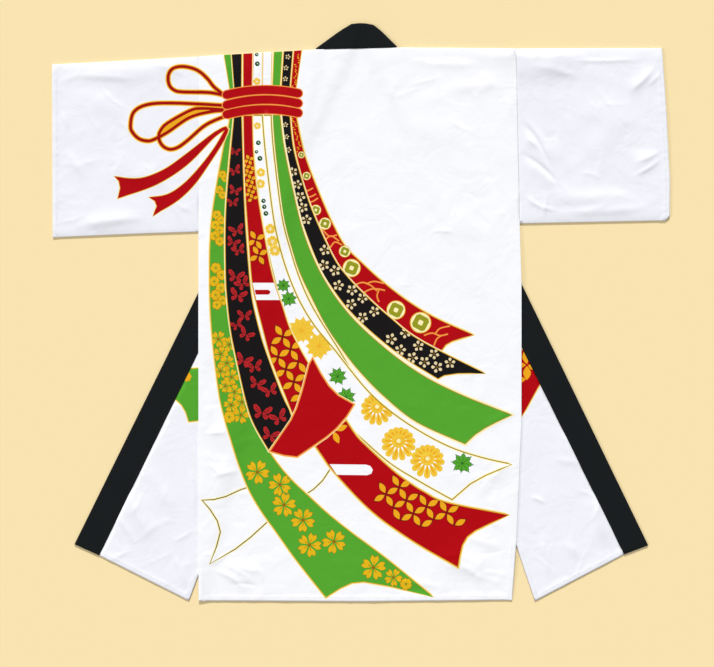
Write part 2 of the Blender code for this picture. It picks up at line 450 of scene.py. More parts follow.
def grid_faces(rows: int, columns: int) -> list[tuple[int, ...]]:
    """Return the four-sided faces of a grid of points that are numbered row by row.

    Args:
        rows: How many rows of points there are.
        columns: How many faces a row has.

    Returns:
        The faces, each with its points' numbers.
    """
    wide = columns + 1
    return [
        (i * wide + j, i * wide + j + 1, (i + 1) * wide + j + 1, (i + 1) * wide + j)
        for i in range(rows - 1)
        for j in range(columns)
    ]


def inside(point: Sequence[float], polygon: Line) -> bool:
    """Return whether the polygon holds the point.

    Args:
        point: The point.
        polygon: Its corners in order.

    Returns:
        True where the point is inside.
    """
    found = False
    polygon = list(polygon)
    for (ax, ay), (bx, by) in zip(polygon, polygon[1:] + polygon[:1]):
        if (ay > point[1]) != (by > point[1]):
            found ^= point[0] < ax + (bx - ax) * (point[1] - ay) / (by - ay)
    return found


# Fronts of the coat


@dataclass(frozen=True)
class Side:
    """One front: its crease, the collar band beside it and the corners of its turned-out part.

    Attributes:
        name: Which side it is on.
        out: -1 for the left and 1 for the right.
        neck: Upper end of the crease.
        slit: Lower end of the crease, at the hem of the back.
        lapel_corner: Where the hem meets the band.
        hem_corner: Where the hem meets the front's side edge.
        band: Free edge and seam edge of the band at the hem, where it bends in, and at the neck.
        shown_from: Share of the band's length, from the neck, at which it comes out from under the back.
    """

    name: str
    out: float
    neck: Point
    slit: Point
    lapel_corner: Point
    hem_corner: Point
    band: tuple[tuple[Point, Point], ...]
    shown_from: float

    def from_crease(self, point: Sequence[float]) -> float:
        """Return how far the point is past the crease."""
        return outside(point, self.neck, self.slit, self.out)

    def from_free_edge(self, point: Sequence[float]) -> float:
        """Return how far the point is past the band's free edge."""
        return outside(point, self.band[1][0], self.band[0][0], self.out)

    def from_seam_edge(self, point: Sequence[float]) -> float:
        """Return how far the point is past the band's seam edge."""
        return outside(point, self.band[1][1], self.band[0][1], self.out)

    def base(self, point: Sequence[float]) -> float:
        """Return the height of the underside of the front's upper part."""
        over_lapel = CLOTH + GAP + (BAND - CLOTH) * ease(-self.from_seam_edge(point), LAPEL_REACH)
        return ease(self.from_free_edge(point), BAND_REACH) * over_lapel


LEFT = Side(
    name="left",
    out=-1.0,
    neck=(-90.3, 527.3),
    slit=(-326.1, -527),
    lapel_corner=(-525.6, -487.7),
    hem_corner=(-345.4, -578.6),
    band=(
        ((-575, -465.2), (-525.6, -487.7)),
        ((-103.6, 492.5), (-59.2, 470)),
        ((-93.7, 527.2), (-24.1, 577.8)),
    ),
    shown_from=0.34,
)
RIGHT = Side(
    name="right",
    out=1.0,
    neck=(84.3, 531.2),
    slit=(311.1, -466.8),
    lapel_corner=(528.4, -485.5),
    hem_corner=(349, -579.2),
    band=(
        ((576.4, -467.4), (528.4, -485.5)),
        ((129.1, 456.4), (75.3, 431.3)),
        ((74.1, 531.3), (28.9, 576)),
    ),
    shown_from=0.36,
)


# Soft folds


@dataclass(frozen=True)
class Fold:
    """A soft ridge, or a trough where its height is below 0, that fades to both ends."""

    start: Point
    end: Point
    width: float
    height: float
    bend: float = 0.0

    @cached_property
    def box(self) -> tuple[float, float, float, float]:
        """Return the lowest and highest x and y that the fold reaches."""
        margin = 3.0 * self.width + abs(self.bend)
        xs, ys = sorted((self.start[0], self.end[0])), sorted((self.start[1], self.end[1]))
        return (xs[0] - margin, ys[0] - margin, xs[1] + margin, ys[1] + margin)

    def guides(self) -> list[list[Point]]:
        """Return lines along the fold that the cloth's triangles follow.

        Returns:
            A line for each of seven distances from the middle.
        """
        (ax, ay), (bx, by) = self.start, self.end
        size = math.hypot(bx - ax, by - ay)
        nx, ny = -(by - ay) / size, (bx - ax) / size
        steps = max(3, round(size / max(5.0, self.width)))
        lines = []
        for part in (-1.7, -1.05, -0.5, 0.0, 0.5, 1.05, 1.7):
            line = []
            for i in range(steps + 1):
                t = 0.04 + 0.92 * i / steps
                off = self.bend * math.sin(math.pi * t) + part * self.width
                line.append((ax + (bx - ax) * t + nx * off, ay + (by - ay) * t + ny * off))
            lines.append(line)
        return lines

    def at(self, point: Sequence[float]) -> float:
        """Return the fold's height at the point.

        Args:
            point: The point.

        Returns:
            The height, 0 away from the fold.
        """
        low_x, low_y, high_x, high_y = self.box
        if not (low_x < point[0] < high_x and low_y < point[1] < high_y):
            return 0.0
        dx, dy = self.end[0] - self.start[0], self.end[1] - self.start[1]
        size = dx * dx + dy * dy
        px, py = point[0] - self.start[0], point[1] - self.start[1]
        part = (px * dx + py * dy) / size
        if not 0.0 < part < 1.0:
            return 0.0
        across = (px * -dy + py * dx) / math.sqrt(size) - self.bend * math.sin(math.pi * part)
        fade = min(1.0, part / 0.4, (1.0 - part) / 0.4)
        return self.height * fade * fade * (3.0 - 2.0 * fade) * math.exp(-((across / self.width) ** 2))


def fold_table(*rows: Sequence[float]) -> tuple[Fold, ...]:
    """Make folds from rows of start x and y, end x and y, width, height and, if it has one, bend."""
    return tuple(Fold((ax, ay), (bx, by), *sizes) for ax, ay, bx, by, *sizes in rows)


SLEEVE_FOLDS = fold_table(
    (138.5, 482.5, 470, 492, 26, 3.2),
    (329.1, 372, 392, 292, 15, 3),
    (329.1, 315.9, 400, 244, 15, 2.4),
    (338, 238, 575, 214, 15, 2.2),
    (596, 492, 530, 436, 15, 2.4),
    (600, 322, 540, 286, 17, 2.2),
    (-590, 478, -350, 484, 20, 2.2),
    (-585, 176, -420, 196, 15, 2),
)
FRONT_FOLDS = fold_table(
    (-479.7, -350, -416, -470, 26, 2.6),
    (392, -244, 480, -286, 24, 2.4),
    (468, -350, 492, -478, 22, 2.2),
)
BACK_FOLDS = fold_table(
    (-293, -496, -198.7, -548, 24, 2.4),
    (-312, -236, -250, -246, 22, 1.6),
    (-300, -326, -235, -318, 22, 1.6),
    (130, -480, 279, -520, 26, 2.2),
)
HAND_FOLDS = fold_table(
    # right sleeve, from its top to its lower edge
    (200, 547, 480, 498, 32, 5.2, 6),
    (409, 506, 580, 510, 4.5, 1.1, -3),
    (330, 492, 440, 470, 8, 1.4, 6),
    (590, 499, 536, 442, 5, 1.6, 5),
    (604, 488, 572, 452, 4, 0.9, 3),
    (322, 384, 380, 286, 4.5, -3.2, 7),
    (330, 350, 352, 330, 3.5, 0.9, 2),
    (319, 322, 402, 248, 5, -3.2, 6),
    (325, 237, 400, 203, 4.5, 1.5, -8),
    (366, 203, 592, 212, 8, 1.8, -5),
    (430, 232, 560, 228, 9, 1.2, 6),
    (604, 327, 548, 301, 4.5, 1.3, 3),
    (604, 311, 543, 273, 4.5, 1.5, 4),
    (420, 420, 560, 350, 30, 1.8, 10),
    (440, 300, 520, 400, 24, 1.4, -8),
    # left sleeve
    (-594, 169, -423, 189, 8, 1.6, 4),
    (-600, 474, -430, 466, 7, 1.2, 3),
    (-606, 408, -588, 362, 4.5, 1, 3),
    (-600, 330, -556, 262, 8, 1.3, 6),
    (-560, 440, -470, 380, 18, 1.6, 8),
    (-520, 320, -380, 260, 20, 1.5, -8),
    (-420, 500, -345, 470, 6, 1.1, 4),
    # back
    (-300, 500, -180, 470, 10, 1.2, 5),
    (100, 505, 250, 500, 7, 1.1, -5),
    (289, 438, 304, 388, 4, 1, 2),
    (150, 440, 300, 452, 12, 1.2, 8),
    (60, 380, 210, 330, 26, 1.1, 12),
    (120, 200, 290, 120, 26, 1.1, 14),
    (-316, -242, -262, -240, 4.5, 1.2),
    (-300, -332, -243, -318, 5, 1.2, 3),
    (-312, -296, -274, -332, 4.5, 1),
    (-318, -150, -296, -220, 5, 0.9, 2),
    (-302, -516, -230, -560, 5, 1.4, 8),
    (-264, -498, -192, -520, 6, 1.3, -6),
    (-262, -546, -200, -552, 4, -0.9, 4),
    (-222, -500, -196, -552, 5, 1, 8),
    (160, -500, 250, -540, 7, 1.3, 8),
    (200, -440, 290, -470, 8, 1.2, -6),
    (60, -540, 170, -556, 6, 1, 5),
    (232, -380, 302, -300, 12, 1.3, 8),
    (250, -236, 312, -190, 8, 1, 4),
    # turned-out fronts
    (-500, -398, -452, -474, 6, 1.4, 5),
    (-470, -350, -430, -440, 6, 1.2, -5),
    (-440, -300, -370, -420, 12, 1.5, 6),
    (-380, -478, -350, -560, 5, 1.2, 3),
    (-346, -300, -334, -420, 5, 0.9, 3),
    (398, -246, 474, -284, 7, 1.6, 5),
    (380, -290, 452, -300, 7, 1, -4),
    (470, -352, 490, -470, 7, 1.4, -5),
    (336, -370, 374, -386, 4.5, 1.3, 3),
    (352, -440, 376, -545, 5, 1.3, 6),
    (400, -460, 440, -500, 9, 1.2, 5),
)


@dataclass(frozen=True)
class Rumple:
    """Many short soft creases in an oblong area of the cloth.

    Attributes:
        low: The area's lower left corner.
        high: Its upper right corner.
        count: How many creases there are.
        lean: Their mean direction in degrees.
        spread: How far their directions vary.
    """

    low: Point
    high: Point
    count: int
    lean: float
    spread: float

    def folds(self, rng: random.Random) -> list[Fold]:
        """Return the creases.

        Args:
            rng: The source of its random numbers.

        Returns:
            The creases.
        """
        result = []
        for _ in range(self.count):
            x, y = rng.uniform(self.low[0], self.high[0]), rng.uniform(self.low[1], self.high[1])
            a = math.radians(self.lean + rng.uniform(-self.spread, self.spread))
            half = rng.uniform(14.0, 44.0)
            start = (x - half * math.cos(a), y - half * math.sin(a))
            end = (x + half * math.cos(a), y + half * math.sin(a))
            height = rng.uniform(0.3, 0.75) * rng.choice((1.0, 1.0, -0.6))
            result.append(Fold(start, end, rng.uniform(3.6, 7.0), height, rng.uniform(-8.0, 8.0)))
        return result


def rumples(seed: int) -> tuple[Fold, ...]:
    """Return the short creases of every part of the coat.

    Args:
        seed: Seed of the random numbers.

    Returns:
        The creases.
    """
    rng = random.Random(seed)
    areas = (
        Rumple((-595, 180), (-350, 480), 20, 150, 60),
        Rumple((335, 200), (595, 505), 28, 140, 60),
        Rumple((40, 150), (300, 500), 14, 150, 50),
        Rumple((120, -560), (300, -120), 22, 35, 60),
        Rumple((-310, -560), (-230, -100), 14, 20, 60),
        Rumple((-490, -520), (-345, -360), 12, 60, 60),
        Rumple((345, -520), (490, -340), 12, 120, 60),
    )
    return tuple(fold for part in areas for fold in part.folds(rng))


FINE_FOLDS = HAND_FOLDS + rumples(11)


def lustre_waves(point: Sequence[float]) -> float:
    """Return the slight waves of satin that was folded and laid out, in millimetres, never below 0."""
    slow = noise.noise(Vector((point[0] / 95.0, point[1] / 120.0, 0.4)))
    quick = noise.noise(Vector((point[0] / 34.0, point[1] / 46.0, 3.7)))
    crease = 1.0 - abs(noise.noise(Vector((point[0] / 62.0, point[1] / 74.0, 8.2))))
    return 0.42 * (slow + 1.0) + 0.3 * (quick + 1.0) + 0.5 * crease ** 6


def folds_at(point: Sequence[float], folds: Sequence[Fold]) -> float:
    """Return the height of the folds at the point."""
    return sum(fold.at(point) for fold in folds)


def neck_base(point: Sequence[float]) -> float:
    """Return the height that the two collar bands hold up near the neck."""
    return (BAND + GAP) * max(ease(-side.from_seam_edge(point), NECK_REACH) for side in (LEFT, RIGHT))


def back_top(point: Sequence[float]) -> float:
    """Return the height of the back's upper surface."""
    height = neck_base(point) if point[1] > NECK_ZONE_Y else 0.0
    for side in (LEFT, RIGHT):
        stack = side.base(point) + CLOTH + GAP
        height = max(height, stack * ease(-side.from_crease(point), CREASE_REACH))
    return CLOTH + height + folds_at(point, BACK_FOLDS) + folds_at(point, FINE_FOLDS) + lustre_waves(point)


def sleeve_top(point: Sequence[float]) -> float:
    """Return the height of a sleeve's upper surface."""
    rest = 2.0 * CLOTH + GAP
    return rest + folds_at(point, SLEEVE_FOLDS) + folds_at(point, FINE_FOLDS) + lustre_waves(point)


def lapel_top(point: Sequence[float]) -> float:
    """Return the height of the upper surface of a turned-out front."""
    return CLOTH + folds_at(point, FRONT_FOLDS) + folds_at(point, FINE_FOLDS) + 0.6 * lustre_waves(point)


# Print


@dataclass(eq=False)
class Shape:
    """A flat area of one dye in the print.

    Attributes:
        points: Its polygon in millimetres, anticlockwise.
        dye: Its colour.
        mask: A lower area that it shows within, or None where it shows whole.
    """

    points: list[Point]
    dye: Dye
    mask: "Shape | None" = None


@dataclass
class Print:
    """Dyed areas in painting order, drawn on the layout grid."""

    shapes: list[Shape] = field(default_factory=list)
    mask: Shape | None = None

    def fill(self, points: Line, dye: Dye) -> Shape:
        """Add a polygon in layout places, within the mask if there is one, and return it."""
        placed = [at(x, y) for x, y in points]
        if area(placed) < 0.0:
            placed.reverse()
        self.shapes.append(Shape(placed, dye, self.mask))
        return self.shapes[-1]

    def edged(
        self, points: Line, dye: Dye, gold: float = 0.8, cream: float = 1.6, line: Dye = Dye.LINE
    ) -> Shape:
        """Add a polygon with a gold line and a cream line round it.

        Args:
            points: The polygon in layout places.
            dye: Its colour.
            gold: Width of the gold line, in layout steps.
            cream: Width of both lines together.
            line: Colour of the inner line.

        Returns:
            The area within the lines.
        """
        points = anticlockwise(points)
        if cream > 0.0:
            self.fill(grown(points, cream), Dye.CREAM)
        self.fill(grown(points, gold), line)
        return self.fill(points, dye)

    def stroke(self, points: Line, width: float, dye: Dye) -> None:
        """Add a line of even width as short pieces, so that it may cross itself."""
        left, right = beside(points, width / 2.0), beside(points, -width / 2.0)
        for i in range(len(left) - 1):
            self.fill((left[i], left[i + 1], right[i + 1], right[i]), dye)

    def disc(self, x: float, y: float, radius: float, dye: Dye, sides: int) -> None:
        """Add a round spot."""
        turns = [2.0 * math.pi * i / sides for i in range(sides)]
        self.fill([(x + radius * math.cos(t), y + radius * math.sin(t)) for t in turns], dye)

    def petal(
        self, x: float, y: float, length: float, width: float, turn: float, dye: Dye, blunt: float = 0.5
    ) -> None:
        """Add a petal that starts at a point.

        Args:
            x: Layout place across.
            y: Layout place down.
            length: Its length.
            width: Its greatest width.
            turn: Its direction in degrees, 0 to the right and 90 down.
            dye: Its colour.
            blunt: Where it is widest, from 0 at its root to 1 at its tip.
        """
        a = math.radians(turn)
        steps = 5
        upper, lower = [], []
        for i in range(steps + 1):
            t = i / steps
            bow = math.sin(math.pi * t ** (math.log(0.5) / math.log(blunt))) * width / 2.0
            along = (x + length * t * math.cos(a), y + length * t * math.sin(a))
            upper.append((along[0] - bow * math.sin(a), along[1] + bow * math.cos(a)))
            lower.append((along[0] + bow * math.sin(a), along[1] - bow * math.cos(a)))
        self.fill(upper + lower[-2:0:-1], dye)


@dataclass(frozen=True)
class Motif:
    """A small figure of the print at its place, size and turn, on the layout grid."""

    x: float
    y: float
    size: float
    turn: float = 0.0

    def spot(self, reach: float, angle: float) -> Point:
        """Return the place at a distance and direction from the figure's middle."""
        return (self.x + reach * math.cos(angle), self.y + reach * math.sin(angle))


class Blossom(Motif):
    """A cherry blossom of five notched petals."""

    def draw(self, sheet: Print, dye: Dye, heart: Dye) -> None:
        """Add the blossom in its dye, with darker edges where it is large, and its heart.

        Args:
            sheet: The print.
            dye: Colour of the petals.
            heart: Colour of the heart and the edges.
        """
        for size, colour in ((self.size + 0.5, heart), (self.size, dye)):
            if colour is heart and self.size < 4.0:
                continue
            for k in range(5):
                a = math.radians(self.turn + 72.0 * k)
                root = self.spot(0.08 * size, a)
                wide, turn = (0.38, 0.25) if self.size > 6.0 else (0.6, 0.27)
                for lean in (-turn, turn):
                    sheet.petal(*root, size * 0.94, size * wide, math.degrees(a + lean), colour, 0.66)
        if self.size > 6.0:
            for k in range(5):
                end = self.spot(0.5 * self.size, math.radians(self.turn + 72.0 * k))
                sheet.stroke(((self.x, self.y), end), 0.55, heart)
        sheet.disc(self.x, self.y, self.size * 0.14, heart, 8)


class Plum(Motif):
    """A plum blossom of five separate oval petals."""

    def draw(self, sheet: Print, dye: Dye, heart: Dye) -> None:
        """Add the petals and the heart.

        Args:
            sheet: The print.
            dye: Colour of the petals.
            heart: Colour of the heart.
        """
        for k in range(5):
            a = math.radians(self.turn + 72.0 * k)
            root = self.spot(0.26 * self.size, a)
            sheet.petal(*root, self.size * 0.78, self.size * 0.6, math.degrees(a), dye, 0.6)
            sheet.stroke(((self.x, self.y), self.spot(0.4 * self.size, a)), 0.45, heart)
        sheet.disc(self.x, self.y, self.size * 0.13, heart, 6)


class Butterfly(Motif):
    """A butterfly with two broad pointed wings and two small ones."""

    FORE = (
        (0.04, 0), (0.3, -0.5), (0.78, -0.86), (1.06, -0.74), (0.98, -0.34), (0.66, -0.04), (0.28, 0.08)
    )
    HIND = ((0.04, 0.02), (0.4, 0.1), (0.72, 0.22), (0.7, 0.52), (0.46, 0.66), (0.2, 0.44))
    VEINS = (((0.16, -0.1), (0.8, -0.62)), ((0.24, -0.06), (0.76, -0.3)), ((0.16, 0.14), (0.52, 0.42)))

    def draw(self, sheet: Print, dye: Dye, line: Dye) -> None:
        """Add the wings, the dark lines on them and the body.

        Args:
            sheet: The print.
            dye: Colour of the wings.
            line: Colour of the lines and the body.
        """
        a = math.radians(self.turn)

        def place(across: float, down: float, side: float) -> Point:
            """Return a layout place from the butterfly's own measure."""
            x, y = across * side * self.size, down * self.size
            return (self.x + x * math.cos(a) - y * math.sin(a), self.y + x * math.sin(a) + y * math.cos(a))

        for side in (-1.0, 1.0):
            for wing in (self.HIND, self.FORE):
                sheet.fill([place(*point, side) for point in wing], dye)
            for vein in self.VEINS:
                sheet.stroke([place(*point, side) for point in vein], 0.42, line)
        sheet.stroke((place(0.0, -0.3, 1.0), place(0.0, 0.5, 1.0)), 0.6, line)


class Maple(Motif):
    """A maple leaf of broad pointed lobes."""

    LOBE = ((-1.0, 0.18), (-0.6, 0.48), (-0.44, 0.36), (0.0, 1.0), (0.44, 0.36), (0.6, 0.48), (1.0, 0.18))

    def outline(self, size: float, lobes: int, depth: float) -> list[Point]:
        """Return the leaf's outline.

        Args:
            size: Its radius.
            lobes: How many points it has.
            depth: How far the notches go in, as a share of the radius.

        Returns:
            The outline in layout places.
        """
        points = []
        spread = 120.0 / lobes
        for k in range(lobes):
            middle = self.turn - 90.0 + 360.0 / lobes * k
            reach = 1.0 if k != lobes // 2 else 0.86
            for lean, part in self.LOBE:
                r = size * (1.0 - depth + depth * part) * reach
                points.append(self.spot(r, math.radians(middle + lean * spread)))
            points.append(self.spot((1.0 - depth) * size, math.radians(middle + 180.0 / lobes)))
        return points

    def draw(self, sheet: Print, dye: Dye, vein: Dye, rim: Dye | None = None, lobes: int = 8) -> None:
        """Add the leaf.

        Args:
            sheet: The print.
            dye: Its colour.
            vein: Colour of its veins.
            rim: Colour of its edge, if it has one.
            lobes: How many points it has.
        """
        depth = 0.4 if lobes < 10 else 0.3
        if rim:
            sheet.fill(self.outline(self.size + 1.1, lobes, depth), rim)
        sheet.fill(self.outline(self.size, lobes, depth), dye)
        for k in range(lobes):
            a = math.radians(self.turn - 90.0 + 360.0 / lobes * k)
            sheet.stroke(((self.x, self.y), self.spot(0.62 * self.size, a)), 0.4, vein)


class Chrysanthemum(Motif):
    """A chrysanthemum of long round-ended petals."""

    PETALS = 14

    def draw(self, sheet: Print, dye: Dye, heart: Dye) -> None:
        """Add the petals, the lower ones longer, and a pale curl at the heart.

        Args:
            sheet: The print.
            dye: Colour of the petals.
            heart: Colour of the heart.
        """
        middle = self.y - 0.14 * self.size
        for k in range(self.PETALS):
            turn = self.turn + 360.0 / self.PETALS * k
            a = math.radians(turn)
            long = self.size * (0.8 + 0.2 * math.sin(a))
            x, y = self.x + 0.1 * self.size * math.cos(a), middle + 0.1 * self.size * math.sin(a)
            sheet.petal(x, y, long, self.size * 0.38, turn, dye, 0.74)
            tip = 0.84 * long
            sheet.disc(x + tip * math.cos(a), y + tip * math.sin(a), self.size * 0.18, dye, 9)
        for k in range(self.PETALS):
            a = math.radians(self.turn + 360.0 / self.PETALS * k)
            long = self.size * (0.8 + 0.2 * math.sin(a))
            x, y = self.x + 0.1 * self.size * math.cos(a), middle + 0.1 * self.size * math.sin(a)
            sheet.petal(x, y, 0.9 * long, self.size * 0.11, math.degrees(a), Dye.GOLD, 0.7)
        sheet.disc(self.x, middle, self.size * 0.4, dye, 14)
        curl = []
        for k in range(12):
            a = math.radians(30.0 * k - 60.0)
            r = self.size * (0.3 - 0.014 * k)
            curl.append((self.x + r * math.cos(a), middle + 0.8 * r * math.sin(a)))
        sheet.stroke(curl, 0.8, Dye.GOLD)
        sheet.disc(self.x, middle, self.size * 0.12, heart, 8)


class Coin(Motif):
    """A round coin with a square hole."""

    def draw(self, sheet: Print) -> None:
        """Add the ring, the square and its cream middle.

        Args:
            sheet: The print.
        """
        sheet.disc(self.x, self.y, self.size, Dye.LINE, 20)
        sheet.disc(self.x, self.y, self.size * 0.92, Dye.CREAM, 20)
        for part, dye in ((0.8, Dye.OLIVE), (0.27, Dye.CREAM)):
            corners = []
            for k in range(4):
                a = math.radians(self.turn + 90.0 * k)
                corners += [self.spot(self.size * part, a + lean) for lean in (-0.2, 0.2)]
            sheet.fill(corners, dye)


@dataclass(frozen=True)
class LinkedPetals:
    """A lattice of petals that meet four by four.

    Attributes:
        x: Layout place of one meeting point, across.
        y: The same, down.
        pitch: Distance between two meeting points.
        turn: Direction of the lattice in degrees.
        width: A petal's width as a share of the pitch.
    """

    x: float
    y: float
    pitch: float
    turn: float
    width: float = 0.46

    def petal(self, sheet: Print, start: Point, turn: float) -> None:
        """Add one petal, dark-edged, from a meeting point."""
        a = math.radians(turn)
        for part, wide, dye in ((1.0, 1.1, Dye.WINE), (0.8, 0.94, Dye.GOLD)):
            x = start[0] + (1.0 - part) / 2.0 * self.pitch * math.cos(a)
            y = start[1] + (1.0 - part) / 2.0 * self.pitch * math.sin(a)
            sheet.petal(x, y, self.pitch * part, self.pitch * self.width * wide, turn, dye)

    def meeting(self, sheet: Print) -> None:
        """Add only the four petals round the first meeting point."""
        for k in range(4):
            self.petal(sheet, (self.x, self.y), self.turn + 90.0 * k)

    def draw(self, sheet: Print, outline: Line, count: int = 9) -> None:
        """Add the petals whose middles lie inside the outline.

        Args:
            sheet: The print.
            outline: Where the lattice shows, in layout places.
            count: How far the lattice reaches each way.
        """
        a = math.radians(self.turn)
        u = (self.pitch * math.cos(a), self.pitch * math.sin(a))
        v = (-u[1], u[0])
        for i in range(-count, count + 1):
            for j in range(-count, count + 1):
                x, y = self.x + i * u[0] + j * v[0], self.y + i * u[1] + j * v[1]
                for (dx, dy), turn in ((u, self.turn), (v, self.turn + 90.0)):
                    if inside((x + dx / 2.0, y + dy / 2.0), outline):
                        self.petal(sheet, (x, y), turn)


@dataclass(frozen=True)
class Ribbon:
    """A printed ribbon between two edges, with a swallow tail at its end."""

    dye: Dye
    pairs: tuple[tuple[float, float, float, float], ...]
    notch: tuple[Point, ...] = ()

    def outline(self) -> list[Point]:
        """Return the ribbon's polygon on the layout grid."""
        left = flowing([(a, b) for a, b, _, _ in self.pairs], 6.0)
        right = flowing([(c, d) for _, _, c, d in self.pairs], 6.0)
        return left + list(self.notch) + right[::-1]


